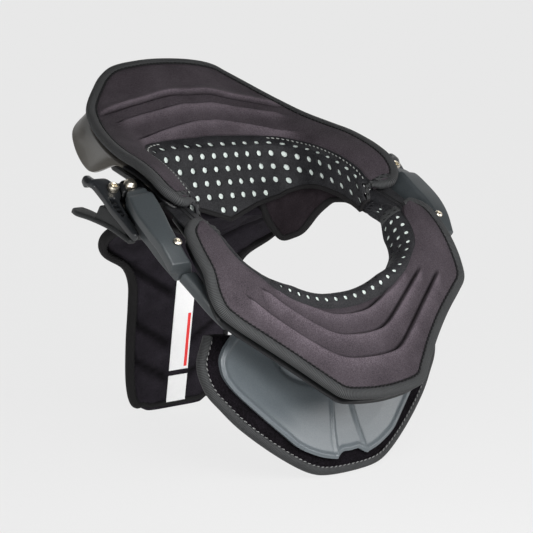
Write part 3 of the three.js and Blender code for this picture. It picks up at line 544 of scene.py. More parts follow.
class Table:
    """A ruled surface round the neck: s runs from arm to arm, t from the neck to the outer edge."""

    def __init__(self, rows):
        """Each row holds an inner and an outer knot; both curves are mirrored to the other arm."""
        rows = np.asarray(rows, float)
        self.inner = mirrored(rows[:, :3])
        self.outer = mirrored(rows[:, 3:])

    def at(self, s, t):
        """Inner point times one minus t, plus outer point times t."""
        t = np.asarray(t, float)[..., None]
        return smooth_curve(self.inner, s) * (1 - t) + smooth_curve(self.outer, s) * t

    def span(self, s):
        """Distance from the inner curve to the outer one."""
        return np.linalg.norm(smooth_curve(self.outer, s) - smooth_curve(self.inner, s), axis=-1)

    def normal(self, s, t):
        """Cross product of the two directions on the surface, turned upwards."""
        low, high = np.clip(s - NUDGE, 0, 1), np.clip(s + NUDGE, 0, 1)
        along = self.at(high, t) - self.at(low, t)
        across = smooth_curve(self.outer, s) - smooth_curve(self.inner, s)
        square = unit(np.cross(along, across))
        return square * np.sign(square[..., 2:])


rear_table, front_table = Table(REAR_ROWS), Table(FRONT_ROWS)
print("table spans at the middle (mm):", rear_table.span(0.5).round(1), front_table.span(0.5).round(1))

# %% [markdown]
# The rear table has three raised arcs and the front one three nested V ribs. On the real pad these are
# pressed into the foam: a sharp crease, then a ridge that rises at once and falls away slowly. They could
# be painted with bump, but then the shadows would stay flat, so here they lift the surface itself.

# %% Pressed ribs
RIDGE_HIGH, RIDGE_PEAK = 3.4, 2.6
CREASE_DEEP, CREASE_HALF = 2.6, 1.2
# Columns: y at the middle, x and y at the ends, side of the ridge (1 behind the crease, -1 before it)
REAR_RIBS = [(120, 84, 97, -1), (141, 90, 123, -1), (155, 98, 136, 1)]
REAR_FADE = 16.0
# Columns: y at the middle, half length of the flat, x and y at the ends
FRONT_RIBS = [(-155, 27, 97, -97), (-135, 23, 81, -92), (-116, 19, 67, -89)]
V_CORNER, V_FADE = 6.0, 7.0


def crease_and_ridge(away):
    """A narrow bell-shaped crease at 0, and on its positive side a ridge r e^(1 - r), with r the distance
    counted in ridge peaks."""
    r = np.maximum(away, 0) / RIDGE_PEAK
    return RIDGE_HIGH * r * np.exp(1 - r) - CREASE_DEEP * np.exp(-((away / CREASE_HALF) ** 2))


def rear_ribs(x, y):
    """Three parabolas; the distance from each is taken square to its slope, and the ends fade out."""
    lift = np.zeros_like(x)
    for middle, end_x, end_y, side in REAR_RIBS:
        fall = (middle - end_y) / end_x**2
        away = (y - middle + fall * x**2) / np.sqrt(1 + (2 * fall * x) ** 2)
        lift += crease_and_ridge(away * side) * ease((end_x - np.abs(x)) / REAR_FADE)
    return lift


def front_ribs(x, y):
    """Three Vs with a flat middle: past the flat the line climbs at one slant, with a soft corner."""
    lift = np.zeros_like(x)
    for middle, flat, end_x, end_y in FRONT_RIBS:
        past = V_CORNER * np.logaddexp(0, (np.abs(x) - flat) / V_CORNER)
        slant = (end_y - middle) / (end_x - flat)
        steep = slant / (1 + np.exp(-(np.abs(x) - flat) / V_CORNER))
        away = (y - middle - slant * past) / np.sqrt(1 + steep**2)
        lift += crease_and_ridge(-away) * ease((end_x - np.abs(x)) / V_FADE)
    return lift


print("lift at a ridge's peak (mm):", crease_and_ridge(RIDGE_PEAK).round(2))


# %% [markdown]
# A table pad is a slab of foam under stretched cloth, crowned in the middle and pulled down at its rim. A
# cloth simulation would round off the pressed ribs, so the crown, the ribs and the rim are added up on the
# ruled surface, and a plain underside closes the pad.

# %% Table pads
PAD_THICK, CROWN, EDGE_DROP = 8.5, 2.2, 1.6
TAPE_WIDE, GAP = 5.2, 0.35
REAR_PAD_INSET, FRONT_PAD_INSET = 8.75, 1.2
RIM_REACH = 7.0
PAD_ALONG, PAD_ACROSS, PAD_UNDER = 400, 124, 12


def pad_top(table, ribs, inset, s, f):
    """The ruled surface plus a sine crown and the ribs, less a rim that falls with the square of the
    nearness to the edge. f runs over the pad's own width, between its inset and the tape."""
    span = table.span(s)
    start = inset / span
    stop = 1 - (TAPE_WIDE + GAP) / span
    top = table.at(s, start + (stop - start) * f)
    edge = np.minimum(f, 1 - f) * (stop - start) * span
    rim = np.clip(1 - edge / RIM_REACH, 0, 1) ** 2
    pressed = ribs(top[..., 0], top[..., 1]) * (1 - rim)
    top[..., 2] += CROWN * np.sin(np.pi * f) + pressed - EDGE_DROP * rim
    return top


def table_pad(name, table, ribs, inset, body):
    """The pad's top, and below it the plain ruled surface one thickness lower."""
    s = np.linspace(0, 1, PAD_ALONG)[:, None]
    top = pad_top(table, ribs, inset, s, np.linspace(0, 1, PAD_ACROSS)[None, :])
    span = table.span(s)
    under_f = np.linspace(1, 0, PAD_UNDER)[None, :]
    under = table.at(s, inset / span + (1 - (TAPE_WIDE + GAP + inset) / span) * under_f)
    under[..., 2] -= PAD_THICK
    loops = np.concatenate([top, under], axis=1)
    piece = lofted(name, loops, on_ring, body, TABLE_CLOTH, [name.replace("_cloth", "_pad")])
    lift = ribs(loops[..., 0], loops[..., 1])
    # Painted shade and painted highlight: the top's colour is darker in the creases and lighter on the
    # ridges; the underside gets none.
    shade = np.where(lift < 0, lift / CREASE_DEEP, lift / RIDGE_HIGH)
    shade[:, PAD_ACROSS:] = 0
    set_painted_shade(piece, shade)


table_pad("rear_table_cloth", rear_table, rear_ribs, REAR_PAD_INSET, "rear")
table_pad("front_table_cloth", front_table, front_ribs, FRONT_PAD_INSET, "front")

# %% [markdown]
# A folded tape is sewn over the edge of each table. The tape is one closed profile carried along the
# edge; the frame at each step is the edge's direction, the table's normal and the way out. A bevelled
# Blender curve does much the same, but it twists freely, and the fold of a tape must stay level.

# %% Carrying a profile along a path
def sweep(path, ups, profile, hand):
    """At each place on the path, a profile point goes out by its first number and up by its second."""
    along = unit(np.gradient(path, axis=0))
    out = unit(np.cross(along, ups)) * hand
    up = unit(np.cross(out, along)) * hand
    return path[:, None, :] + out[:, None, :] * profile[None, :, :1] + up[:, None, :] * profile[None, :, 1:]


def sweep_uv(path, profile):
    """Length along the path and round the profile, in metres."""
    return together(running_length(path)[:, None] * MM, running_length(profile)[None, :] * MM)


def rounded(path, reach):
    """A path with its corners rounded: a weighted mean of the places up to reach steps either side."""
    longer = np.vstack([np.repeat(path[:1], reach, 0), path, np.repeat(path[-1:], reach, 0)])
    weights = np.hanning(2 * reach + 3)[1:-1]
    weights /= weights.sum()
    return np.stack([np.convolve(column, weights, "valid") for column in longer.T], axis=1)


def even_path(points, ups, step):
    """A path and its ups at places about one step (mm) apart."""
    count = int(running_length(points)[-1] / step)
    both = even_places(points, np.hstack([points, ups]), count)
    return both[:, :3], unit(both[:, 3:])


# %% The tables' tapes
# Columns: out from the pad's rim, up from the table's surface (mm)
TAPE_KNOTS = [
    (-2.4, -1.4), (-2.2, -0.2), (-1.0, 0.7), (0.9, 1.1), (3.0, 0.9), (4.8, -0.3), (5.5, -2.4),
    (5.0, -4.7), (3.2, -6.3), (0.4, -6.8), (-1.8, -6.7), (-2.4, -4.4)]
TAPE_PROFILE = closed_curve(TAPE_KNOTS, 36)
TAPE_STEP, TAPE_SOFT, TAPE_BEGIN = 1.5, 2, 0.2
EDGE_STEPS, END_STEPS = 500, 11
TAPER_LONG, TAPER_END = 9.0, 0.45


def edge_path(table, inset):
    """The rim of a pad: in from one arm's end, round the outer edge and in at the other end."""
    s_round = np.linspace(0, 1, EDGE_STEPS)
    edge = 1 - (TAPE_WIDE + GAP) / table.span(s_round)
    begin = TAPE_BEGIN * inset / table.span(0.0)
    t_in = np.linspace(begin, edge[0], END_STEPS, endpoint=False)
    s = np.concatenate([np.zeros(END_STEPS), s_round, np.ones(END_STEPS)])
    t = np.concatenate([t_in, edge, t_in[::-1]])
    return even_path(table.at(s, t), table.normal(s, t), TAPE_STEP)


def tapered(loops, path):
    """Loops drawn in towards their path near both ends, down to a share of their size."""
    run = running_length(path)
    near_end = np.minimum(run, run[-1] - run) / TAPER_LONG
    share = TAPER_END + (1 - TAPER_END) * ease(near_end)
    return path[:, None, :] + (loops - path[:, None, :]) * share[:, None, None]


def table_tape(name, table, inset, hand, body):
    """The tape profile carried round the rim of a table pad."""
    path, ups = edge_path(table, inset)
    path = rounded(path, TAPE_SOFT)
    loops = tapered(sweep(path, ups, TAPE_PROFILE, hand), path)
    lofted(name, loops, on_ring, body, EDGE_TAPE, [name.replace("_tape", "_binding")],
           uv=sweep_uv(path, TAPE_PROFILE))
    print(name, "steps:", len(path))
    return path, ups


rear_edge = table_tape("rear_table_tape", rear_table, REAR_PAD_INSET, 1, "rear")
front_edge = table_tape("front_table_tape", front_table, FRONT_PAD_INSET, -1, "front")

# %% [markdown]
# The stitches are short rounded lengths of thread, half sunk in the tape and set a little aslant, so that
# a row of them reads as a twisted rope. One small capsule is worked out once and set down at every place
# along the row, all in one array; a copied object for each stitch would make hundreds of pieces.

# %% Stitches
STITCH_RINGS, STITCH_SIDES = 6, 6
STITCH_TIP, STITCH_SLANT = 0.98, 0.28
ROPE = {"pitch": 3.8, "long": 4.1, "thick": 1.9}
FINE = {"pitch": 4.2, "long": 2.9, "thick": 0.9}
ROPE_OUT, ROPE_UP = -2.5, 0.1


def stitch_row(name, path, ups, hand, out, up, body, finish, place, size):
    """Capsules along a path. A ring's radius is the root of one less the fourth power of its place, so that
    both ends are round. out and up shift the row from its path (mm)."""
    count = int(running_length(path)[-1] / size["pitch"])
    both = even_places(path, np.hstack([path, ups]), count)[1:-1]
    centre, normal = both[:, :3], unit(both[:, 3:])
    ahead = unit(np.gradient(centre, axis=0))
    side = unit(np.cross(ahead, normal)) * hand
    centre = centre + side * out + normal * up
    along = unit(ahead + side * STITCH_SLANT)
    across = unit(np.cross(normal, along))
    ring = np.linspace(-STITCH_TIP, STITCH_TIP, STITCH_RINGS)
    turn = np.arange(STITCH_SIDES) * 2 * np.pi / STITCH_SIDES
    radius = size["thick"] / 2 * np.sqrt(1 - ring**4)
    a = (ring * size["long"] / 2)[None, :, None, None] * along[:, None, None, :]
    b = (radius[:, None] * np.cos(turn))[None, :, :, None] * across[:, None, None, :]
    c = (radius[:, None] * np.sin(turn))[None, :, :, None] * normal[:, None, None, :]
    points = centre[:, None, None, :] + a + b + c
    one = loft_faces(STITCH_RINGS, STITCH_SIDES)
    whole = STITCH_RINGS * STITCH_SIDES
    faces = [[k * whole + v for v in face] for k in range(len(centre)) for face in one]
    make_piece(name, place(points), faces, body, finish)
    print(name, "stitches:", len(centre))


stitch_row("rear_table_stitches", *rear_edge, 1, ROPE_OUT, ROPE_UP, "rear", THREAD, on_ring, ROPE)
stitch_row("front_table_stitches", *front_edge, -1, ROPE_OUT, ROPE_UP, "front", THREAD, on_ring, ROPE)

# %% [markdown]
# The neck roll is a black perforated skin over pale foam. The holes are real: the sheet is made of square
# cells, each a ring of quads from a round hole out to the square's edge, and the cells are bent over the
# roll together. Cells where no hole belongs keep their middle face. A boolean cut would leave ragged faces.

# %% Punched cells
CELL_SIDE = 4
CELL_SHARES = np.array([0.0, 0.3, 1.0])
HOLE_LIMIT = 0.38


def punched_sheet(columns, rows, wide, high, radius, punched):
    """uv places and faces of a sheet of columns by rows cells. wide and high are each cell's size in
    millimetres, so that a hole of the given radius is round; punched says which cells have one."""
    lap = 4 * CELL_SIDE
    turn = np.arange(lap)
    corner = np.array([[-1, -1], [1, -1], [1, 1], [-1, 1]]) / 2
    side = turn // CELL_SIDE
    along = (turn % CELL_SIDE / CELL_SIDE)[:, None]
    square = corner[side] + (corner[(side + 1) % 4] - corner[side]) * along
    circle = square / np.linalg.norm(square, axis=1, keepdims=True)
    size = np.stack([wide, high], axis=-1)[:, :, None, None, :]
    hole = np.minimum(radius / size, HOLE_LIMIT) * circle
    share = CELL_SHARES[:, None, None]
    middle = np.stack(np.meshgrid(np.arange(columns) + 0.5, np.arange(rows) + 0.5), axis=-1)
    uv = (middle[:, :, None, None, :] + hole * (1 - share) + square * share) / [columns, rows]
    rings = np.array(grid_faces(len(CELL_SHARES), lap, wrap=True))
    starts = np.arange(rows * columns) * lap * len(CELL_SHARES)
    faces = (starts[:, None, None] + rings).reshape(-1, 4).tolist()
    filled = starts[~punched.ravel()]
    faces += (filled[:, None] + np.arange(lap)).tolist()
    return uv, faces


print("points to a cell:", 4 * CELL_SIDE * len(CELL_SHARES))


# %% [markdown]
# Behind the skin lie the foam that shows through its holes, and a black cloth that closes the roll. Both
# follow the skin: its own surface is moved back, square to itself, once for each face of the layer.

# %% Layers behind a skin
NECK_CENTRE = on_ring(np.array([0.0, 0.0, 0.0]))
SKIN_THICK, SKIN_MERGE = 1.3, 1e-5
FOAM_NEAR, FOAM_FAR = 1.7, 5.2
CLOTH_NEAR, CLOTH_FAR = 5.4, 6.6
LAYER_ALONG, LAYER_DOWN = 160, 40
LAYER_TOP, LAYER_FOOT = 0.04, 0.97
FINE_STEPS = 800


def thicken(piece, thick):
    """Solidify: the sheet gets a second face behind it and a rim round every hole."""
    solid = piece.modifiers.new("thickness", "SOLIDIFY")
    solid.thickness = thick * MM
    solid.offset = -1.0


def curve_run(curve):
    """Fine parameters of a curve, and the length that it has run at each."""
    t = np.linspace(0, 1, FINE_STEPS)
    return t, running_length(smooth_curve(curve, t))


def even_share(curve, count):
    """A curve's parameters at count + 1 evenly spaced places."""
    t, run = curve_run(curve)
    return np.interp(np.linspace(0, run[-1], count + 1), run, t)


def backing(name, roll, trim, near, far, body, finish, nodes):
    """A layer behind a rolled skin: its surface moved back square to itself, twice, and closed."""
    s, v = np.broadcast_arrays(np.linspace(trim, 1 - trim, LAYER_ALONG)[:, None],
                               np.linspace(LAYER_TOP, LAYER_FOOT, LAYER_DOWN)[None, :])
    face = roll(s, v)
    square = unit(np.cross(np.gradient(face, axis=0), np.gradient(face, axis=1)))
    square *= np.sign(-(square * face).sum())
    loops = np.concatenate([face - square * near, (face - square * far)[:, ::-1]], axis=1)
    lofted(name, loops, on_ring, body, finish, nodes)


def back_up(half, roll, trim):
    """Pale foam behind the skin, and black cloth behind the foam."""
    backing(f"{half}_neck_foam", roll, trim, FOAM_NEAR, FOAM_FAR, half, PALE_FOAM, [f"{half}_neck_wall"])
    backing(f"{half}_neck_cloth", roll, trim, CLOTH_NEAR, CLOTH_FAR, half, QUILTED_CLOTH, [])


# %% [markdown]
# The rear roll turns over the table's inner edge and hangs down behind the neck, deep in the middle and
# shallow at the sides. Giving the skin by its running length, instead of by a share of its depth, keeps
# every hole the same size; the hem then simply stops the run.

# %% Shape of the rear roll
NECK_DOWN = np.array([0.0, -0.813, -0.582])
NECK_FRONT = -9.5
ROLL_TUCK, ROLL_DROP, ROLL_SINK = 11.0, 6.0, 3.2
ROLL_LONG = 14.0
# Columns: distance from the middle, depth (mm)
NECK_ROWS = np.array([(0, 69), (30, 58), (55, 52), (66, 45), (76, 37), (88, 33)], float)


def neck_depth(top):
    """Deep behind the neck and shallower at the sides, but never in front of the rear half's limit."""
    deep = np.interp(np.abs(top[..., 0]), NECK_ROWS[:, 0], NECK_ROWS[:, 1])
    return np.minimum(deep, (NECK_FRONT - top[..., 1]) / NECK_DOWN[1])


def roll_length(s):
    """The skin's whole length from its tucked edge: the turn, and the drop below it."""
    return ROLL_LONG + neck_depth(smooth_curve(rear_table.inner, s)) - ROLL_DROP


def rear_roll_run(s, run):
    """From under the pad the skin turns over the table's inner edge on a quarter ellipse, and then hangs
    straight down. run is the length from the tucked edge, turn and drop together, stopped at the hem."""
    top = smooth_curve(rear_table.inner, s)
    away = unit(smooth_curve(rear_table.outer, s) - top)
    run = np.minimum(run, roll_length(s))
    angle = np.clip(run / ROLL_LONG, 0, 1)[..., None] * np.pi / 2
    turned = away * ROLL_TUCK * (1 - np.sin(angle)) + NECK_DOWN * ROLL_DROP * (1 - np.cos(angle))
    sunk = np.cos(angle) * np.array([0, 0, -ROLL_SINK])
    return top + turned + sunk + NECK_DOWN * np.maximum(run - ROLL_LONG, 0)[..., None]


def rear_roll(s, v):
    """The same by the share v of the whole length."""
    return rear_roll_run(s, v * roll_length(s))


print("rear skin's length at the middle (mm):", roll_length(0.5).round(1))


# %% Rear liner
REAR_HOLE_WIDE, REAR_HOLE_HIGH, REAR_HOLE_RADIUS = 12.6, 11.6, 2.6
REAR_HOLE_PHASE, HEM_MARGIN, REAR_TRIM = 7.6, 2.0, 0.06


def rear_liner():
    """Equal cells over the rear roll; those that the hem cuts have no hole."""
    length = curve_run(rear_table.inner)[1][-1]
    columns = round(length / REAR_HOLE_WIDE) + 1
    stations = even_share(rear_table.inner, columns)
    whole = roll_length((stations[1:] + stations[:-1]) / 2)
    rows = math.ceil((whole.max() + REAR_HOLE_PHASE) / REAR_HOLE_HIGH)
    high = np.full((rows, columns), REAR_HOLE_HIGH)
    wide = np.full_like(high, length / columns)
    centre = (np.arange(rows)[:, None] + 0.5) * REAR_HOLE_HIGH - REAR_HOLE_PHASE
    punched = (centre + REAR_HOLE_RADIUS + HEM_MARGIN < whole) & (centre > ROLL_LONG / 2)
    uv, faces = punched_sheet(columns, rows, wide, high, REAR_HOLE_RADIUS, punched)
    s = np.interp(uv[..., 0], np.linspace(0, 1, columns + 1), stations)
    points = rear_roll_run(s, np.maximum(uv[..., 1] * rows * REAR_HOLE_HIGH - REAR_HOLE_PHASE, 0))
    piece = make_piece("rear_neck_skin", on_ring(points), faces, "rear", PERFORATED_SKIN,
                       ["rear_neck_liner"], facing=NECK_CENTRE, merge=SKIN_MERGE)
    thicken(piece, SKIN_THICK)
    print("rear holes:", int(punched.sum()))


rear_liner()
back_up("rear", rear_roll, REAR_TRIM)

# %% [markdown]
# The front roll is a fat bead along the neck edge of the apron. Its section changes on the way: low at the
# tips, hanging on the arms, and standing proud at the middle of the chest. Three measured sections are
# blended along the edge, which is simpler than shaping one long mesh by hand.

# %% Shape of the front roll
# Columns: x, y, n (mm on the ring), from the left tip to the middle
FRONT_NECK_ROWS = [
    (86.4, -11, 16), (88.6, -19, 20.5), (91, -28, 25), (91.5, -44, 28.5), (89.5, -58, 28.5),
    (84.5, -71, 26.5), (76.5, -80, 24), (66, -89.5, 19.5), (52, -98, 12), (36, -103.5, 7),
    (18, -106.5, 3.5), (0, -107, 2.5),
]
# Columns: in towards the neck, up (mm); on the arms, at their tips and at the middle of the chest
ARM_ROLL = [(-4.5, -1.6), (-0.4, -0.4), (3, -1.8), (6.5, -5.5), (9, -11), (10.5, -17), (11, -24)]
TIP_ROLL = [(-4.5, -1.6), (-0.4, -0.4), (2, -1.2), (4, -2.4), (5.5, -4), (6.5, -6), (7, -8)]
CHEST_ROLL = [(-4.5, -1.6), (-0.4, 0.3), (4.5, 3), (9.5, 4), (13.5, 1), (15, -6), (14.5, -19)]
RISE_FULL, RISE_NONE = 45.0, 80.0
TIP_NEAR, TIP_FAR = -18.0, -52.0
UP = np.array([0, 0, 1.0])
front_neck = mirrored(FRONT_NECK_ROWS)


def front_roll(s, v):
    """The roll's section carried along the neck: in times the inward direction, up times the ring's normal.
    It stands highest at the middle of the chest and sinks below the pad towards the arms."""
    low, high = np.clip(s - NUDGE, 0, 1), np.clip(s + NUDGE, 0, 1)
    along = smooth_curve(front_neck, high) - smooth_curve(front_neck, low)
    inwards = unit(together(along[..., 1], -along[..., 0], 0.0))
    centre = smooth_curve(front_neck, s)
    rise = ease((RISE_NONE - np.abs(centre[..., 0])) / (RISE_NONE - RISE_FULL))[..., None]
    tip = ease((centre[..., 1] - TIP_FAR) / (TIP_NEAR - TIP_FAR))[..., None]
    arm = smooth_curve(ARM_ROLL, v) * (1 - tip) + smooth_curve(TIP_ROLL, v) * tip
    section = arm * (1 - rise) + smooth_curve(CHEST_ROLL, v) * rise
    return centre + inwards * section[..., :1] + UP * section[..., 1:]


print("front neck edge (mm):", curve_run(front_neck)[1][-1].round(1))


# %% Front liner
FRONT_HOLE_WIDE, FRONT_HOLE_HIGH, FRONT_HOLE_RADIUS, FRONT_HOLE_ROWS = 9.8, 7.8, 2.0, 4
FRONT_TRIM = 0.05


def front_liner():
    """Cells over the front roll, all of them punched except the row tucked under the pad."""
    length = curve_run(front_neck)[1][-1]
    columns = round(length / FRONT_HOLE_WIDE)
    stations = even_share(front_neck, columns)
    high = np.full((FRONT_HOLE_ROWS, columns), FRONT_HOLE_HIGH)
    wide = np.full_like(high, length / columns)
    punched = np.ones_like(high, bool)
    punched[0] = False
    uv, faces = punched_sheet(columns, FRONT_HOLE_ROWS, wide, high, FRONT_HOLE_RADIUS, punched)
    s = np.interp(uv[..., 0], np.linspace(0, 1, columns + 1), stations)
    points = front_roll(s, uv[..., 1])
    piece = make_piece("front_neck_skin", on_ring(points), faces, "front", PERFORATED_SKIN,
                       ["front_neck_liner"], facing=NECK_CENTRE, merge=SKIN_MERGE)
    thicken(piece, SKIN_THICK)
    print("front holes:", int(punched.sum()))


front_liner()
back_up("front", front_roll, FRONT_TRIM)

# %% [markdown]
# Bands of the same tape are sewn across the ends of the tables, over the roll and on to the pad. A band is
# a strip of the surface it lies on, lifted off it, so it follows every bend. Its stitches run near its
# edges. A separate strip would have to be fitted by eye.

# %% Bands over a surface
SIDES = (("left", 1), ("right", -1))
BAND_LIFT, BAND_SINK = 1.3, 0.6
BAND_LONG, BAND_WIDE = 70, 10
BAND_THIN, BAND_FLAT = 0.6, 6
# The band's UV lengths along and round it (m), and the columns that its two rows of stitches follow
BAND_UV = (0.06, 0.02)
BAND_ROWS = (("near", 2), ("far", 7))
BAND_STITCH_UP = 0.1


def on_side(points, flip):
    """Points of the wearer's left side, mirrored to the right where flip is -1."""
    return points * np.array([flip, 1, 1])


def band(stem, surface, limits, body):
    """The surface between two values of s, moved out along its normal, and the same strip sunk to close it.
    surface takes s and v and gives ring millimetres on the wearer's left."""
    s, v = np.broadcast_arrays(np.linspace(*limits, BAND_WIDE)[None, :],
                               np.linspace(0, 1, BAND_LONG)[:, None])
    face = surface(s, v)
    square = unit(np.cross(np.gradient(face, axis=1), np.gradient(face, axis=0)))
    square *= np.sign(square[-1, :, 2].mean())
    lift = BAND_LIFT * (1 - BAND_THIN * np.abs(np.linspace(-1, 1, BAND_WIDE))[None, :, None] ** BAND_FLAT)
    loops = np.concatenate([face + square * lift, (face - square * BAND_SINK)[:, ::-1]], axis=1)
    uv = together(np.linspace(0, BAND_UV[0], BAND_LONG)[:, None],
                  np.linspace(0, BAND_UV[1], 2 * BAND_WIDE)[None, :])
    for hand_name, flip in SIDES:
        lofted(f"{stem}_{hand_name}", on_side(loops, flip), on_ring, body, EDGE_TAPE, uv=uv)
        for row, column in BAND_ROWS:
            path, ups = on_side(loops[:, column], flip), on_side(square[:, column], flip)
            stitch_row(f"{stem}_{row}_stitches_{hand_name}", path, ups, 1, 0, BAND_STITCH_UP, body,
                       THREAD, on_ring, FINE)


# %% Bands at the ends of the tables
# Each band's limits along its table, and where the rear one runs over the roll (mm) and over the pad
REAR_BAND, FRONT_BAND = (0.004, 0.021), (0.098, 0.118)
END_RUNS, END_SHARES = np.linspace(24, 7, 8), np.linspace(0.08, 1, 12)
TIP_START, TIP_CLIMB = 0.95, 0.85


def rear_end(s, v):
    """A line over the neck roll and the pad, through places on the one and then on the other."""
    roll = [rear_roll_run(s, np.full_like(s, run)) for run in END_RUNS]
    top = [pad_top(rear_table, rear_ribs, REAR_PAD_INSET, s, np.full_like(s, f)) for f in END_SHARES]
    knots = np.stack([*roll, *top])
    last = len(knots) - 1
    place = np.clip(v * last, 0, last - TINY)
    index, w = place.astype(int), (place % 1)[..., None]
    low = np.take_along_axis(knots, index[None, ..., None], axis=0)[0]
    high = np.take_along_axis(knots, index[None, ..., None] + 1, axis=0)[0]
    return low + (high - low) * w


def front_tip(s, v):
    """Up the front roll from the neck side, as far as its tucked edge."""
    return front_roll(s, TIP_START - TIP_CLIMB * v)


band("rear_end_band", rear_end, REAR_BAND, "rear")
band("front_tip_band", front_tip, FRONT_BAND, "front")

# %% [markdown]
# The liner ends below in a narrow rolled hem, and a pale thread shows at its upper corners, where it is sewn
# under the pad. Both follow the skin at one running length: the hem as a small closed profile carried along
# it, the seam as a row of stitches.

# %% Hem and seam of the rear liner
# Columns: along the skin, off it (mm)
HEM_KNOTS = [(-1.9, 0), (-1.4, 1.0), (0, 1.4), (1.4, 1.0), (1.9, 0), (1.4, -1.2), (0, -1.7), (-1.4, -1.2)]
HEM_PROFILE = closed_curve(HEM_KNOTS, 20)
HEM_STEPS, HEM_TRIM, HEM_RAISE = 320, 0.004, 0.6
SEAM_RUN, SEAM_FIRST, SEAM_LAST, SEAM_STEPS, SEAM_UP = 4.6, 0.03, 0.3, 120, 0.2
SLOPE_RUN = 0.5


def liner_path(s, run):
    """A line over the roll at one run length, with the direction off the skin at every place."""
    path = rear_roll_run(s, run)
    across = rear_roll_run(s, run - SLOPE_RUN) - path
    square = unit(np.cross(np.gradient(path, axis=0), across))
    return path, square * np.sign(square[:, 2:].sum())


def liner_hem():
    """A narrow rolled hem along the liner's lower edge."""
    s = np.linspace(HEM_TRIM, 1 - HEM_TRIM, HEM_STEPS)
    path, ups = liner_path(s, roll_length(s) - HEM_RAISE)
    lofted("rear_liner_hem", sweep(path, ups, HEM_PROFILE, 1), on_ring, "rear", PAD_BINDING,
           uv=sweep_uv(path, HEM_PROFILE))


liner_hem()
seam_sides = (("left", (SEAM_FIRST, SEAM_LAST)), ("right", (1 - SEAM_LAST, 1 - SEAM_FIRST)))
for seam_hand, seam_limits in seam_sides:
    seam = liner_path(np.linspace(*seam_limits, SEAM_STEPS), np.full(SEAM_STEPS, SEAM_RUN))
    stitch_row(f"rear_liner_seam_{seam_hand}", *seam, 1, 0, SEAM_UP, "rear", PALE_THREAD, on_ring, FINE)

# %% [markdown]
# The hard pieces. A section is a polygon; its corners are softened by short parabolas, the sections are
# blended along the piece, and both ends are rounded by a few shrinking loops. That gives every moulded
# edge the small radius that catches the light. A Bevel modifier does this too, but it stumbles where
# sections change along the piece.

# %% Moulded solids
FILLET_LIMIT = 0.42


def filleted(loops, radius, steps=3):
    """Corners replaced by short parabolas that start and end a radius away, or less on a short side."""
    def towards(other):
        """A place on the way to the next corner, a radius off or at most a share of the side."""
        way = other - loops
        length = np.linalg.norm(way, axis=-1, keepdims=True)
        return loops + way * np.minimum(radius / np.maximum(length, TINY), FILLET_LIMIT)

    start, stop = towards(np.roll(loops, 1, axis=-2)), towards(np.roll(loops, -1, axis=-2))
    start, corner, stop = (points[..., None, :] for points in (start, loops, stop))
    t = np.linspace(0, 1, steps + 1)[:, None]
    arcs = start * (1 - t) ** 2 + 2 * corner * t * (1 - t) + stop * t**2
    return arcs.reshape(*loops.shape[:-2], -1, loops.shape[-1])


def rounded_ends(loops, radius, steps=4):
    """A short run of loops at each end, shrinking on a quarter circle towards the end's middle."""
    a = np.linspace(0, np.pi / 2, steps + 1)[1:, None, None]

    def end_loops(end, before):
        """Drawn in by one less the cosine and moved out by the sine, times the radius."""
        centre = end.mean(axis=0)
        out = unit(centre - before.mean(axis=0))
        reach = np.linalg.norm(end - centre, axis=-1).mean()
        return centre + (end - centre) * (1 - radius / reach * (1 - np.cos(a))) + out * radius * np.sin(a)

    return np.concatenate([end_loops(loops[0], loops[1])[::-1], loops, end_loops(loops[-1], loops[-2])])


def moulded(sections, stations, radius, end):
    """Sections blended along the piece, softened by radius and closed with ends rounded by end (mm)."""
    blended = smooth_curve(np.asarray(sections, float), np.linspace(0, 1, stations))
    return rounded_ends(filleted(blended, radius), end)


def box_sections(rows):
    """Rectangles across y. Columns: y, inner x, outer x, low n, high n."""
    return [[(a, y, low), (a, y, high), (b, y, high), (b, y, low)] for y, a, b, low, high in rows]


def pair(stem, loops, body, finish, node=None):
    """The same loops on the wearer's left, and mirrored on the right. body may name a side with {}."""
    for hand_name, flip in SIDES:
        nodes = [f"{node}_{hand_name}"] if node else []
        lofted(f"{stem}_{hand_name}", on_side(loops, flip), on_ring, body.format(hand_name), finish, nodes)


# %% [markdown]
# Between the two tables a short strap of the liner bridges each arm, with two piping lines along it. It is
# soft, so its rows are blended both ways into one surface, and a second face below it gives it thickness.

# %% Bridge straps
# Each row goes from the neck side to the arm cover; columns of a knot: x, y, n
STRAP_ROWS = np.array([
    [(81, -11, 9), (85, -10, 14), (89.8, -1, 14.8), (98, 3.5, 15.2), (112, 2, 17.5)],
    [(81.5, -20, 9), (86, -20, 16.5), (90.5, -20, 21), (99, -18, 22), (112.5, -18, 22)],
    [(83, -31, 12), (88, -31, 19.5), (92.5, -31, 24), (100, -31, 26), (113, -31, 25.5)],
    [(84, -42, 14), (89.5, -42, 21.5), (93.5, -42, 25), (101, -42, 27), (113, -42, 26.5)]], float)
STRAP_THICK, STRAP_ALONG, STRAP_ACROSS = 1.6, 24, 40
PIPING_SHARES = (0.70, 0.80)
PIPING_RADIUS, PIPING_SIDES = 0.7, 8


def strap_surface(v, w):
    """Rows blended along the arm, knots blended across it."""
    along = smooth_curve(STRAP_ROWS, v)
    return smooth_curve(np.swapaxes(along, 0, 1), w)


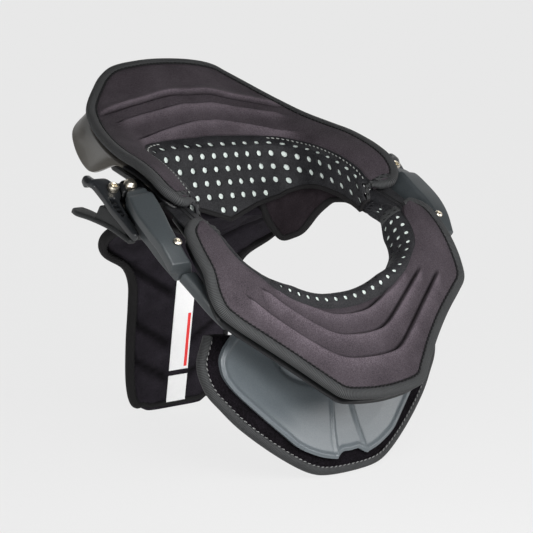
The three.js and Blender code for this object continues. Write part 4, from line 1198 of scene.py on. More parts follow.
def bridge_strap():
    """The strap's face and a second one below it, closed, and a thin cord for each piping."""
    along = np.linspace(0, 1, STRAP_ALONG)
    face = np.swapaxes(strap_surface(along, np.linspace(0, 1, STRAP_ACROSS)), 0, 1)
    loops = np.concatenate([face, face[:, ::-1] - UP * STRAP_THICK], axis=1)
    pair("bridge_strap", loops, "front", PERFORATED_SKIN)
    turn = np.arange(PIPING_SIDES) * 2 * np.pi / PIPING_SIDES
    cord = PIPING_RADIUS * np.stack([np.cos(turn), np.sin(turn)], axis=-1)
    for number, share in enumerate(PIPING_SHARES, 1):
        path = strap_surface(along, np.array([share]))[0]
        ups = np.broadcast_to(UP, path.shape)
        pair(f"strap_piping_{number}", sweep(path, ups, cord, 1), "front", EDGE_TAPE)


bridge_strap()

# %% [markdown]
# A moulded cover hides each arm, broad on top, with a side that turns down at a fold and in under it. From
# its front end a plain square arm runs on towards the chest. Both are a few sections along y.

# %% Arm covers and forward arms
# Columns: y, foot x, top x, fold x, under x, low n, high n, fold n
COVER_ROWS = [
    (21, 119, 123.8, 134.5, 132.5, 4.2, 20, 17.5), (16, 118.5, 123.6, 139.5, 136.5, 4.2, 24.2, 21.3),
    (8.6, 118.2, 123.4, 142.6, 138.2, 4.2, 26.2, 23), (8, 118.2, 123.4, 143.4, 138.2, 4.2, 27.8, 24.4),
    (-12, 117.5, 124.5, 146.2, 139, 4.2, 29, 26.2), (-28, 117, 126.5, 145.6, 138.5, 6, 29, 27.2),
    (-44, 116.5, 126.5, 143, 136, 5, 27.5, 26.4), (-60.5, 115.5, 123, 140, 131, 3, 22.5, 21.5),
]
COVER_SIDE, COVER_STEP, COVER_LIP, COVER_FOLD = 9.0, 2.0, 1.0, 1.2
# Columns: y, inner x, outer x, low n, high n
FRONT_ARM_ROWS = [
    (-62.9, 114, 128, 2.2, 11.5), (-75, 112, 124, 0.6, 10.2), (-92, 106, 118, -2.4, 7.2),
    (-105, 98, 110, -6.4, 2.7),
]


def cover_section(y, foot, top, fold_x, under, low, high, fold):
    """Leaning inner side, broad top, then a side that turns down at the fold and in under it."""
    side = min(COVER_SIDE, (fold - low) / 2)
    return [(foot, y, low), (top - COVER_STEP, y, (low + 2 * high) / 3), (top, y, high - COVER_STEP),
            (top + COVER_STEP, y, high), (fold_x - COVER_LIP, y, fold), (fold_x, y, fold - COVER_FOLD),
            (fold_x - COVER_LIP, y, fold - side), (under, y, fold - side - COVER_STEP), (under, y, low)]


cover_loops = moulded([cover_section(*row) for row in COVER_ROWS], stations=90, radius=1.1, end=1.0)
pair("cover_shell", cover_loops, "front", SLATE_PLASTIC, "arm_cover")
arm_loops = moulded(box_sections(FRONT_ARM_ROWS), stations=40, radius=3.4, end=1.0)
pair("forward_arm", arm_loops, "front", SLATE_PLASTIC, "front_arm")

# %% [markdown]
# A rubber tab hangs from each latch lever, to be pulled with two fingers, and a thin web joins it to the
# lever. Rubber has no sharp edges, so the same sections get a larger radius.

# %% Pull tabs
# Columns: y, inner x, outer x, low n, high n
TAB_ROWS = [
    (-16, 141.5, 148, -0.8, 3.4), (6, 142, 151, -8, -3), (28, 143, 154, -19, -14),
    (42, 143.5, 157, -27, -21.5), (49, 145.5, 155.5, -31, -25),
]
WEB_ROWS = [
    (-8, 143.5, 147, -2, 4.5), (6, 145.5, 149.5, -6, 4.5), (17, 146.5, 151, -11.5, 4.5),
    (24, 147.5, 152, -15.5, 1),
]
tab_loops = moulded(box_sections(TAB_ROWS), stations=60, radius=2.2, end=1.6)
pair("rubber_tab", tab_loops, "latch_{}", TAB_RUBBER, "pull_tab")
web_loops = moulded(box_sections(WEB_ROWS), stations=40, radius=1.2, end=0.8)
pair("tab_web", web_loops, "latch_{}", TAB_RUBBER)

# %% [markdown]
# The latch plates are flat outlines. Blender's own flat curves fill an outline with its holes and give it
# thickness and a round edge in one step, so they are drawn as curves, made meshes and laid on the ring.

# %% Plates from flat outlines
BEVEL_STEPS, PLATE_MERGE = 2, 1e-6


def bevelled_plate(outlines, low, high, bevel):
    """Points (mm) and faces of a filled, extruded and bevelled flat curve with its holes."""
    curve = bpy.data.curves.new("outline", "CURVE")
    curve.dimensions = "2D"
    curve.fill_mode = "BOTH"
    curve.extrude = (high - low) / 2 - bevel
    curve.bevel_depth = bevel
    curve.bevel_resolution = BEVEL_STEPS
    curve.offset = -bevel
    for outline in outlines:
        spline = curve.splines.new("POLY")
        spline.points.add(len(outline) - 1)
        flat = np.zeros((len(outline), 4))
        flat[:, :2] = outline
        flat[:, 3] = 1
        spline.points.foreach_set("co", flat.ravel())
        spline.use_cyclic_u = True
    drawn = bpy.data.objects.new("outline", curve)
    bpy.context.scene.collection.objects.link(drawn)
    mesh = bpy.data.meshes.new_from_object(drawn.evaluated_get(bpy.context.evaluated_depsgraph_get()))
    points = np.empty(len(mesh.vertices) * 3)
    mesh.vertices.foreach_get("co", points)
    faces = [list(face.vertices) for face in mesh.polygons]
    bpy.data.objects.remove(drawn)
    bpy.data.curves.remove(curve)
    bpy.data.meshes.remove(mesh)
    return points.reshape(-1, 3) + UP * (low + high) / 2, faces


def plate_pair(stem, outlines, low, high, bevel, body, finish, node):
    """A bevelled plate on the wearer's left, and mirrored on the right."""
    points, faces = bevelled_plate(outlines, low, high, bevel)
    for hand_name, flip in SIDES:
        make_piece(f"{stem}_{hand_name}", on_ring(on_side(points, flip)), faces, body.format(hand_name),
                   finish, [f"{node}_{hand_name}"], merge=PLATE_MERGE)


def soft_outline(corners, radius):
    """A flat outline with its corners rounded."""
    return filleted(np.asarray(corners, float), radius, steps=5)


# %% Latch plates
# Columns: x, y (mm on the ring)
BASE_OUTLINE = [
    (117, -12), (138, -12), (143, 14), (145.5, 39), (143, 45), (138, 46), (129.3, 46), (129.3, 30),
    (126, 28.7), (122.7, 30), (122.7, 42), (118.5, 38), (117, 20)]
LEVER_OUTLINE = [
    (141.4, -19), (146.8, -19), (149.4, 0), (151.4, 12), (151.8, 24), (153.4, 36), (155.2, 44),
    (141, 44), (137.4, 38), (135.6, 30), (137, 23), (141.2, 18), (141.4, 2)]
LEVER_SLOT = [(143.6, 3), (147.2, 1.6), (149.2, 12), (149, 21.5), (143.8, 21.5)]
plate_pair("latch_body", [soft_outline(BASE_OUTLINE, radius=3)], low=-3.0, high=3.6, bevel=0.8,
           body="front", finish=BLACK_PLASTIC, node="latch_base")
lever_outlines = [soft_outline(LEVER_OUTLINE, radius=4), soft_outline(LEVER_SLOT, radius=1.6)]
plate_pair("lever_arm", lever_outlines, low=4.2, high=10.4, bevel=1.1,
           body="latch_{}", finish=LEVER_PLASTIC, node="latch_lever")

# %% [markdown]
# At the lever's end a paddle turns down for the thumb, three bars cross the slot in its middle, and a
# boss on the base carries its screw. They are small mouldings, so the sections above serve again.

# %% Paddles, lattice bars and bosses
# Columns: y, inner x, outer x, low n, high n
PADDLE_ROWS = [
    (37, 143, 154.6, 4.8, 10.2), (42, 146.5, 157, 3.4, 10), (45.5, 149.6, 157.1, -0.4, 9.4),
    (49, 150.4, 156.8, -0.2, 8.4),
]
BOSS_ROWS = [
    (24, 131.5, 136, 4.2, 10), (26, 130, 135.6, 4.2, 12.5), (34, 130, 135.2, 4.2, 12.5),
    (38, 131, 135, 4.2, 9),
]
LATTICE_PLACES = (6.5, 11.5, 16.5)
# A bar's half width along y, and its inner x, outer x, low n and high n
BAR_HALF, BAR_BOX = 0.8, (142.8, 150, 5, 8.4)
paddle_loops = moulded(box_sections(PADDLE_ROWS), stations=40, radius=3.6, end=2.4)
pair("lever_paddle", paddle_loops, "latch_{}", LEVER_PLASTIC)
for bar_number, bar_y in enumerate(LATTICE_PLACES, 1):
    bar_rows = [(bar_y - BAR_HALF, *BAR_BOX), (bar_y + BAR_HALF, *BAR_BOX)]
    bar_loops = moulded(box_sections(bar_rows), stations=6, radius=0.5, end=0.3)
    pair(f"lattice_bar_{bar_number}", bar_loops, "latch_{}", LEVER_PLASTIC)
boss_loops = moulded(box_sections(BOSS_ROWS), stations=30, radius=2.2, end=1.0)
pair("latch_boss", boss_loops, "front", BLACK_PLASTIC)

# %% [markdown]
# Rivets and screws are turned parts: a profile of radius and height, spun round the ring's normal. The Spin
# tool does that too; with a profile in numpy the rows of points are loops already.

# %% Turned parts
TURN_SIDES = 40
# Columns: radius, height off the ring (mm)
RIVET_PROFILE = [
    (2.8, -2.3), (2.8, 10.3), (4.9, 10.35), (5.1, 10.8), (5.1, 13.6), (4.8, 14.4), (3.9, 15.0),
    (3.6, 15.9), (3.0, 16.5), (1.6, 16.8), (0.02, 16.85)]
SOCKET_PROFILE = [
    (3.9, 10.6), (4.2, 11.0), (4.2, 14.6), (3.8, 15.3), (2.6, 15.6), (2.2, 15.3), (2.1, 13.0), (0.02, 12.8)]
ARM_SCREW_PROFILE = [
    (3.2, 27.7), (3.4, 28.2), (3.1, 29.0), (2.2, 29.6), (1.3, 29.8), (1.0, 29.1), (0.02, 29.0)]
STUD_PROFILE = [(1.7, 12.0), (1.7, 14.2), (1.3, 15.0), (0.02, 15.3)]
# Columns: name, profile, x and y of its axis, body, node that it stands for
TURNED = [
    ("rivet_head", RIVET_PROFILE, HINGE_ON_RING[:2], "rear", "pivot_rivet"),
    ("socket_screw", SOCKET_PROFILE, (142, 30), "latch_{}", "latch_screw"),
    ("cover_screw", ARM_SCREW_PROFILE, (129.6, -45.4), "front", "arm_screw"),
    ("arm_stud", STUD_PROFILE, (102, 29.5), "rear", None),
]


def turned_pair(stem, profile, axis, body, node):
    """Each profile point becomes a circle of its radius at its height."""
    angle = np.arange(TURN_SIDES) * 2 * np.pi / TURN_SIDES
    radius, height = np.asarray(profile, float).T[:, :, None]
    loops = together(axis[0] + radius * np.cos(angle), axis[1] + radius * np.sin(angle), height)
    pair(stem, loops, body, NICKEL, node)


for turned_row in TURNED:
    turned_pair(*turned_row)

# %% [markdown]
# Under each table lies a moulded plate; the sides of the rear one are glossy and turn down into flanges. A
# plate's section runs under the pad, over a shoulder and down the flange; the sections follow the table
# round, and Solidify gives the sheet its wall. One thin sheet is easier to bend than a closed solid.

# %% Shape of the table plates
# Columns: y, reach out, reach down (mm)
FLANGE_ROWS = np.array([
    (62, 0.6, 1.5), (70, 1.2, 6), (80, 7, 22), (100, 9.5, 21), (120, 12, 15), (138, 13, 10), (148, 10, 7),
    (159, 0.6, 1.5)], float)
PLAIN_EDGE = np.array([(0, 0.6, 1.5)], float)
FLANGE_SOFT = 5
PLATE_UNDER, PLATE_MARGIN, PLATE_WALL, PLATE_SHOULDER = 10.2, 5.0, 2.4, 2.25
# Largest share of the table that a plate leaves free at the neck, and the last knot under the pad
PLATE_FREE, PLATE_LAST = 0.5, 0.9
# Share of a flange's reach and of its drop at the knot halfway down
HALF_REACH, HALF_DROP = 0.55, 0.42
PLATE_ACROSS, PLATE_BEVEL = 40, 0.5
ABOVE_RING = on_ring(np.array([0, 100, 200.0]))


def plate_sheet(table, hand, flange, inset, s):
    """Knots of each section: under the pad at three places, the shoulder, halfway down and the lip."""
    span = table.span(s)
    edge = 1 - PLATE_MARGIN / span
    begin = np.minimum(inset / span, PLATE_FREE)
    along = unit(np.gradient(smooth_curve(table.outer, s), axis=0))
    out = unit(together(along[:, 1], -along[:, 0], 0.0)) * hand
    under = [table.at(s, t) - PLATE_UNDER * UP for t in (begin, (begin + edge) / 2, PLATE_LAST * edge)]
    rim = table.at(s, edge)
    shoulder = rim - (PLATE_UNDER + PLATE_SHOULDER) * UP
    reach = np.interp(rim[:, 1], flange[:, 0], flange[:, 1])
    drop = np.interp(rim[:, 1], flange[:, 0], flange[:, 2])
    reach, drop = np.hsplit(rounded(np.stack([reach, drop], axis=1), FLANGE_SOFT), 2)
    half = shoulder + out * reach * HALF_REACH - drop * HALF_DROP * UP
    lip = shoulder + out * reach - drop * UP
    return smooth_curve(np.stack([*under, shoulder, half, lip]), np.linspace(0, 1, PLATE_ACROSS))


def table_plate(name, table, hand, flange, inset, limits, steps, finish, nodes):
    """The sheet between two limits of s, given a wall and a softly bevelled edge."""
    sheet = plate_sheet(table, hand, flange, inset, np.linspace(*limits, steps))
    body = "rear" if table is rear_table else "front"
    piece = make_piece(name, on_ring(sheet), grid_faces(*sheet.shape[:2]), body, finish, nodes,
                       facing=ABOVE_RING)
    thicken(piece, PLATE_WALL)
    edge_round = piece.modifiers.new("edge", "BEVEL")
    edge_round.width = PLATE_BEVEL * MM
    edge_round.segments = 2
    edge_round.limit_method = "ANGLE"


# %% Table plates
REAR_PLATE_INSET, FRONT_PLATE_INSET, ARM_SHARE = 17.5, 3.0, 0.15
# Columns: y, inner x, outer x, low n, high n
BRIDGE_ROWS = [(-11, 96, 111, 14, 19), (-40, 98, 114, 19, 22.4)]
table_plate("rear_plate", rear_table, 1, FLANGE_ROWS, REAR_PLATE_INSET, (ARM_SHARE, 1 - ARM_SHARE),
            steps=170, finish=GLOSS_SHELL, nodes=["rear_shell"])
for arm_hand, arm_limits in (("left", (0, ARM_SHARE)), ("right", (1 - ARM_SHARE, 1))):
    table_plate(f"plate_arm_{arm_hand}", rear_table, 1, PLAIN_EDGE, REAR_PLATE_INSET, arm_limits,
                steps=40, finish=BLACK_PLASTIC, nodes=[])
table_plate("front_plate", front_table, -1, PLAIN_EDGE, FRONT_PLATE_INSET, (0, 1),
            steps=240, finish=BLACK_PLASTIC, nodes=["front_shell"])
bridge_loops = moulded(box_sections(BRIDGE_ROWS), stations=40, radius=1.2, end=0.6)
pair("plate_bridge", bridge_loops, "front", BLACK_PLASTIC)

# %% [markdown]
# Quilted pads swell between their seams. That swelling is left to Blender's cloth: the points that are sewn
# down are pinned, and a little air pressure lifts the rest. The result is copied into the mesh and the
# modifier removed, so that the piece stays still afterwards.

# %% Blowing up a pad
SIM_FRAMES, CLOTH_MASS, CLOTH_QUALITY, CLOTH_SLACK = 20, 0.0008, 6, 0.03
PAD_PRESSURE = 4.0


def point_places(data):
    """Places of a mesh's points as one flat array (m)."""
    places = np.empty(len(data.vertices) * 3)
    data.vertices.foreach_get("co", places)
    return places


def inflate(piece, pinned, cap):
    """Cloth under pressure: pinned points stay, and no point moves further than cap (mm)."""
    rest = point_places(piece.data)
    group = piece.vertex_groups.new(name="pinned")
    group.add(np.flatnonzero(pinned.ravel()).tolist(), 1.0, "REPLACE")
    cloth = piece.modifiers.new("cloth", "CLOTH")
    cloth.settings.vertex_group_mass = "pinned"
    cloth.settings.mass = CLOTH_MASS
    cloth.settings.quality = CLOTH_QUALITY
    cloth.settings.use_pressure = True
    cloth.settings.uniform_pressure_force = PAD_PRESSURE
    cloth.settings.shrink_min = -CLOTH_SLACK
    cloth.settings.effector_weights.gravity = 0
    cloth.point_cache.frame_start = 1
    cloth.point_cache.frame_end = SIM_FRAMES
    for number in range(1, SIM_FRAMES + 1):
        bpy.context.scene.frame_set(number)
    moved = point_places(piece.evaluated_get(bpy.context.evaluated_depsgraph_get()).data)
    piece.modifiers.remove(cloth)
    step = (moved - rest).reshape(-1, 3)
    length = np.linalg.norm(step, axis=1, keepdims=True)
    step *= np.minimum(1, cap * MM / np.maximum(length, TINY))
    piece.data.vertices.foreach_set("co", rest + step.ravel())
    piece.data.update()
    bpy.context.scene.frame_set(1)
    print(piece.name, "moved at most (mm):", round(float(length.max() / MM), 2))


def subdivided(piece):
    """One smooth subdivision over the simulated cloth."""
    finer = piece.modifiers.new("smooth", "SUBSURF")
    finer.levels = 1
    finer.render_levels = 1


# %% [markdown]
# The back pad is a quilted T that hangs down the spine. Its shape comes from a few rows: how far back, how
# high and how wide. Slanting channels are sewn through it, and between them the cloth swells.

# %% Shape of the back pad
# Columns: y, z, half width (mm in the part's own directions)
BACK_ROWS = np.array([
    (60, 181, 66), (76, 174, 90), (91, 166, 98), (103, 153, 93), (110, 138, 67), (114, 122, 58),
    (118, 100, 56), (124, 66, 55), (131, 24, 51), (134, 8, 45), (134, 0.4, 34)], float)
# Height of each channel at the label's edge, how steeply it climbs to the sides, and how it begins
CHANNELS, CHANNEL_SLOPE, CHANNEL_START = (146, 109.5, 63.2, 30.7), 0.62, 14.0
CHANNEL_LEAD, CHANNEL_FADE = 6.0, 8.0
CHANNEL_HALF, CHANNEL_DEEP = 4.0, 3.6


def back_frame(v):
    """Place, half width and forward direction of the pad at share v of its length."""
    row = smooth_curve(BACK_ROWS, v)
    down = np.gradient(row[:, :2], axis=0)
    face = unit(together(0.0, down[:, 1], -down[:, 0]))
    return row, face


def channel_share(x, z):
    """1 on a sewn channel, falling to 0 beside it."""
    near = np.zeros_like(x)
    for height in CHANNELS:
        away = z - height - CHANNEL_SLOPE * (np.abs(x) - CHANNEL_START)
        near = np.maximum(near, np.exp(-((away / CHANNEL_HALF) ** 2)))
    return near * ease((np.abs(x) - CHANNEL_START + CHANNEL_LEAD) / CHANNEL_FADE)


print("back pad's greatest half width (mm):", BACK_ROWS[:, 2].max())


# %% Back pad
BACK_INSET, BACK_THICK, BACK_EDGE, BACK_RIM = 5.55, 8.0, 1.8, 6.0
BACK_DOWN, BACK_ACROSS, BACK_BEHIND = 90, 56, 6
# Where the cloth is held: how deep in a channel or rim, under the labels, and rows at both ends
SEWN_HELD, RIM_HELD, END_HELD = 0.6, 0.3, 2
LABEL_HALF, LABEL_TOP = 11.5, 124
BACK_CAP = 4.0


def back_pad():
    """Front: the T's rows with a pulled-down rim and sewn channels. Behind: the same rows, further back."""
    row, face = back_frame(np.linspace(0, 1, BACK_DOWN))
    half = (row[:, 2] - BACK_INSET)[:, None]
    x = np.linspace(-1, 1, BACK_ACROSS)[None, :] * half
    front = together(x, row[:, :1], row[:, 1:2])
    sewn = channel_share(front[..., 0], front[..., 2])
    rim = np.clip(1 - (half - np.abs(x)) / BACK_RIM, 0, 1) ** 2
    front += face[:, None, :] * (-BACK_EDGE * rim - CHANNEL_DEEP * sewn)[..., None]
    behind = together(np.linspace(1, -1, BACK_BEHIND)[None, :] * half, row[:, :1], row[:, 1:2])
    loops = np.concatenate([front, behind - face[:, None, :] * BACK_THICK], axis=1)
    piece = lofted("back_quilt", loops, upright, "rear", BACK_CLOTH, ["back_pad"])
    # Painted shade: the colour is darker along the sewn channels.
    shade = np.zeros(loops.shape[:2])
    shade[:, :BACK_ACROSS] = -sewn
    set_painted_shade(piece, shade)
    pinned = np.ones(loops.shape[:2], bool)
    label = (np.abs(x) < LABEL_HALF) & (front[..., 2] < LABEL_TOP)
    held = (sewn > SEWN_HELD) | (rim > RIM_HELD) | label
    pinned[END_HELD:-END_HELD, :BACK_ACROSS] = held[END_HELD:-END_HELD]
    inflate(piece, pinned, BACK_CAP)
    subdivided(piece)


back_pad()

# %% [markdown]
# The quilted pads are bound with a soft black tape that covers their whole thickness, with one row of fine
# stitches on its front. It is swept as the tables' tape was, with a rounder profile.

# %% Back binding
# Columns: out from the pad's side, forward of its middle (mm)
BINDING_KNOTS = [
    (-1.6, 3.4), (-0.9, 4.5), (0.6, 4.9), (2.4, 4.4), (4.0, 2.8), (4.6, 0.0), (4.0, -2.8), (2.4, -4.3),
    (0.6, -4.8), (-0.9, -4.5), (-1.6, -3.2), (-1.8, 0)]
BINDING_PROFILE = closed_curve(BINDING_KNOTS, 32)
BINDING_STEP, BINDING_SOFT = 2.0, 4
BINDING_STITCH_OUT, BINDING_STITCH_UP = -1.2, 4.4
SIDE_STEPS = 160


def bound_edge(name, path, ups, hand, profile, body, place, nodes, finish):
    """A tape carried along a path, with its UV map along and round it."""
    lofted(name, sweep(path, ups, profile, hand), place, body, finish, nodes, uv=sweep_uv(path, profile))


def back_edge():
    """Down the left side of the T, along the bottom and up the right side, at mid thickness."""
    row, face = back_frame(np.linspace(0, 1, SIDE_STEPS))
    y, z, half = row.T
    side = together(half - BACK_INSET, y, z + BACK_INSET * (z < BACK_INSET)) - face * BACK_THICK / 2
    side[:, 2] = np.maximum(side[:, 2], BACK_INSET)
    path, ups = even_path(np.vstack([side, on_side(side[::-1], -1)]), np.vstack([face, face[::-1]]),
                          BINDING_STEP)
    return rounded(path, BINDING_SOFT), ups


back_rim = back_edge()
bound_edge("back_tape", *back_rim, -1, BINDING_PROFILE, "rear", upright, ["back_binding"], PAD_BINDING)
stitch_row("back_stitches", *back_rim, -1, BINDING_STITCH_OUT, BINDING_STITCH_UP, "rear", THREAD,
           upright, FINE)

# %% [markdown]
# Two plain white patches are sewn on the spine, the longer one with a red stripe along one side. Each is a
# thin sheet that follows the pad. The stripe could be a strip of its own, but on cloth this thin it would
# stand off, so it is part of the finish, placed by the patch's UV map.

# %% Striped white cloth
PATCH_DARK, PATCH_LIGHT = (0.86, 0.86, 0.86), (0.95, 0.95, 0.95)
STRIPE_RED = (0.80, 0.035, 0.035, 1)


def add_sum(tree, operation, first):
    """A Math node whose first input comes from another node."""
    node = tree.nodes.new("ShaderNodeMath")
    node.operation = operation
    tree.links.new(first, node.inputs[0])
    return node


def striped_cloth(name, stripe):
    """Woven white cloth; between the stripe's four UV limits it is red."""
    made = grained(name, PATCH_DARK, PATCH_LIGHT, grain=1600, mottle=60, rough=0.85, bump=0.3)
    if stripe is None:
        return made
    tree = made.node_tree
    colour = tree.nodes["Principled BSDF"].inputs["Base Color"]
    cloth = colour.links[0].from_socket
    place = tree.nodes.new("ShaderNodeTexCoord")
    split = tree.nodes.new("ShaderNodeSeparateXYZ")
    tree.links.new(place.outputs["UV"], split.inputs[0])
    within = []
    for axis, (low, high) in zip(("X", "Y"), stripe):
        test = add_sum(tree, "COMPARE", split.outputs[axis])
        test.inputs[1].default_value = (low + high) / 2
        test.inputs[2].default_value = (high - low) / 2
        within.append(test.outputs[0])
    both = add_sum(tree, "MULTIPLY", within[0])
    tree.links.new(within[1], both.inputs[1])
    paint = tree.nodes.new("ShaderNodeMix")
    paint.data_type = "RGBA"
    paint.inputs["B"].default_value = STRIPE_RED
    tree.links.new(both.outputs[0], paint.inputs["Factor"])
    tree.links.new(cloth, paint.inputs["A"])
    tree.links.new(paint.outputs["Result"], colour)
    return made


# %% White patches
PATCH_HALF, PATCH_LIFT, PATCH_THICK = 10.0, 0.5, 0.6
PATCH_UP, PATCH_ACROSS = 40, 10
# Columns: node, lower and upper edge (mm), limits of the stripe across and up the patch
PATCHES = [("label_long", 36, 121, ((0.76, 0.92), (0.03, 0.62))), ("label_short", 6, 31, None)]


def patch(node, low, high, stripe):
    """A strip of the pad's middle, lifted off it, with a second layer behind to close it."""
    z = np.linspace(low, high, PATCH_UP)
    order = BACK_ROWS[::-1]
    y = np.interp(z, order[:, 1], order[:, 0]) - PATCH_LIFT
    x = np.linspace(-PATCH_HALF, PATCH_HALF, PATCH_ACROSS)
    face = together(x[None, :], y[:, None] - PATCH_THICK, z[:, None])
    back = face[:, ::-1] + np.array([0, PATCH_THICK, 0])
    across = np.linspace(0, 1, PATCH_ACROSS)
    uv = together(np.concatenate([across, across[::-1]])[None, :], np.linspace(0, 1, PATCH_UP)[:, None])
    piece = lofted(f"{node}_cloth", np.concatenate([face, back], axis=1), upright, "rear",
                   striped_cloth(node, stripe), [node], uv=uv)


for patch_row in PATCHES:
    patch(*patch_row)

# %% [markdown]
# The shoulder pads hang from the outside of the neck roll: short towards the front, and a deep lobe at the
# back. Each is a soft closed sheet between the roll and its hem, blown up a little, with a thick binding.

# %% Shape of a shoulder pad
SHOULDER_FIRST, SHOULDER_LAST, SHOULDER_SLANT = 0.063, 0.262, 0.05
SHOULDER_NEAR, SHOULDER_THICK = 8.05, 8.0
SHOULDER_HIGH, SHOULDER_LOW, HEM_SHARE = 0.72, 0.98, 0.84
NECK_SHARE = 1 / 3
# Columns: y of the neck above, hem's reach out, back and down (mm)
SKIRT_ROWS = np.array([(14, 1, 0, 2), (45, 5, 10, 5), (60, 3, 11, 11), (75, -3, 7, 30), (84, -8, 2, 46),
                       (97, -8, -1, 48)], float)
HANG_OUT, HANG_BACK, HANG_DOWN = np.array([1.0, 0, 0]), ring_axes[:, 1], -ring_axes[:, 2]


def below_roll(w):
    """0 while w is on the roll, then rising to 1 at the hem."""
    return np.clip((w - NECK_SHARE) / (1 - NECK_SHARE), 0, 1)


def shoulder_sheet(s, w, off):
    """Down the back of the neck roll for the first third of w, then out, back and down to the hem."""
    top = smooth_curve(rear_table.inner, s)
    along = smooth_curve(rear_table.inner, s + NUDGE) - smooth_curve(rear_table.inner, s - NUDGE)
    back = unit(np.cross(np.broadcast_to(NECK_DOWN, along.shape), along))
    deep = neck_depth(top)[..., None]
    level = SHOULDER_HIGH + (SHOULDER_LOW - SHOULDER_HIGH) * np.clip(w / NECK_SHARE, 0, 1)
    reach = [np.interp(top[..., 1], SKIRT_ROWS[:, 0], column)[..., None] for column in SKIRT_ROWS.T[1:]]
    hem = HANG_OUT * reach[0] + HANG_BACK * reach[1] + HANG_DOWN * reach[2]
    fall = HEM_SHARE * below_roll(w)
    return top + NECK_DOWN * deep * level[..., None] + back * off[..., None] + hem * fall[..., None]


def shoulder_end(w):
    """The rear end slants: further round the neck at the roll than at the hem."""
    return SHOULDER_LAST + SHOULDER_SLANT * (1 - below_roll(w))


print("shoulder pad's rear end at the roll and the hem:", shoulder_end(np.array([0, 1])).round(3))


# %% Shoulder pads
SHOULDER_ALONG, SHOULDER_ACROSS = 44, 26
# How fast the pad thickens from its hem and from its rear end, and how far its faces pull in there (mm)
PINCH_HEM, PINCH_END, PINCH_DEEP = 4, 60, 2.0
# Points round the section that are free to swell, and the rows of the seam across the middle
SHOULDER_FREE, SHOULDER_SEAM = slice(9, 24), slice(21, 23)
SHOULDER_CAP = 2.5


def shoulder_pad(hand_name, flip):
    """Near face bulging towards the neck, far face behind it, closed at both ends."""
    w = np.linspace(0, 1, SHOULDER_ACROSS)[None, :]
    s = SHOULDER_FIRST + (shoulder_end(w) - SHOULDER_FIRST) * np.linspace(0, 1, SHOULDER_ALONG)[:, None]
    w = np.broadcast_to(w, s.shape)
    full = np.minimum(1, PINCH_HEM * (1 - w)) * np.minimum(1, (shoulder_end(w) - s) * PINCH_END)
    pinch = PINCH_DEEP * (1 - full)
    near = shoulder_sheet(s, w, SHOULDER_NEAR + pinch)
    far = shoulder_sheet(s, w, SHOULDER_NEAR + SHOULDER_THICK - pinch)
    loops = on_side(np.concatenate([near, far[:, ::-1]], axis=1), flip)
    piece = lofted(f"shoulder_cloth_{hand_name}", loops, on_ring, "rear", SHOULDER_CLOTH,
                   [f"shoulder_pad_{hand_name}"])
    pinned = np.ones(loops.shape[:2], bool)
    pinned[END_HELD:-END_HELD, SHOULDER_FREE] = False
    pinned[SHOULDER_SEAM] = True
    inflate(piece, pinned, SHOULDER_CAP)
    subdivided(piece)


# %% Shoulder bindings
END_FROM, END_POINTS, HEM_POINTS = 0.3, 30, 90
SHOULDER_STEP, SHOULDER_TAPE = 1.6, 0.8


def shoulder_tape(hand_name, flip):
    """The binding's profile, a little smaller, down the rear end of the pad and forward along its hem."""
    w = np.concatenate([np.linspace(END_FROM, 1, END_POINTS), np.ones(HEM_POINTS)])
    along_hem = np.linspace(SHOULDER_LAST, SHOULDER_FIRST, HEM_POINTS)
    s = np.concatenate([shoulder_end(w[:END_POINTS]), along_hem])
    middle = np.full_like(s, SHOULDER_NEAR + SHOULDER_THICK / 2)
    path = shoulder_sheet(s, w, middle)
    ups = unit(shoulder_sheet(s, w, middle - 1) - path)
    path, ups = even_path(on_side(path, flip), on_side(ups, flip), SHOULDER_STEP)
    bound_edge(f"shoulder_tape_{hand_name}", rounded(path, BINDING_SOFT), ups, flip,
               BINDING_PROFILE * SHOULDER_TAPE, "rear", on_ring, [], PAD_BINDING)


for pad_hand, pad_flip in SIDES:
    shoulder_pad(pad_hand, pad_flip)
    shoulder_tape(pad_hand, pad_flip)

# %% [markdown]
# The chest pieces lean back and wrap a little round the body: one formula gives how far forward every
# point of their face lies. The pad is loop-pile foam, too stiff to swell much, so its crown is worked out,
# and the binding follows its outline.

# %% Shape of the chest
CHEST_FACE, CHEST_LEAN, CHEST_CURVE = -116.0, 0.31, 0.00047


def chest_face(x, z, forward=0.0):
    """Points on the chest face: y grows with height and with the square of the distance from the middle."""
    return together(x, CHEST_FACE + CHEST_LEAN * z + CHEST_CURVE * x**2 - forward, z)


def chest_normal(points):
    """Forward direction of the chest face: the slope of the formula, turned round."""
    return unit(together(2 * CHEST_CURVE * points[..., 0], -1.0, CHEST_LEAN))


print("foot of the chest face (mm):", chest_face(0.0, 0.0))


# %% Chest pad
# Columns: x, lower edge, upper edge (mm)
CHEST_PAD_ROWS = np.array([
    (0, 6.2, 96), (25, 6.2, 98), (36.5, 10, 101), (61, 25.8, 108), (89.8, 50.4, 114), (103, 66.3, 115),
    (108.5, 72.9, 104.8), (113, 86, 96.4)], float)
CHEST_SHOULDER = 5
CHEST_THICK, PUFF_HIGH, PUFF_SINK, PUFF_POWER = 8.0, 0.9, 0.6, 0.5
CHEST_ACROSS, CHEST_UP, CHEST_EDGE_STEPS = 120, 50, 600


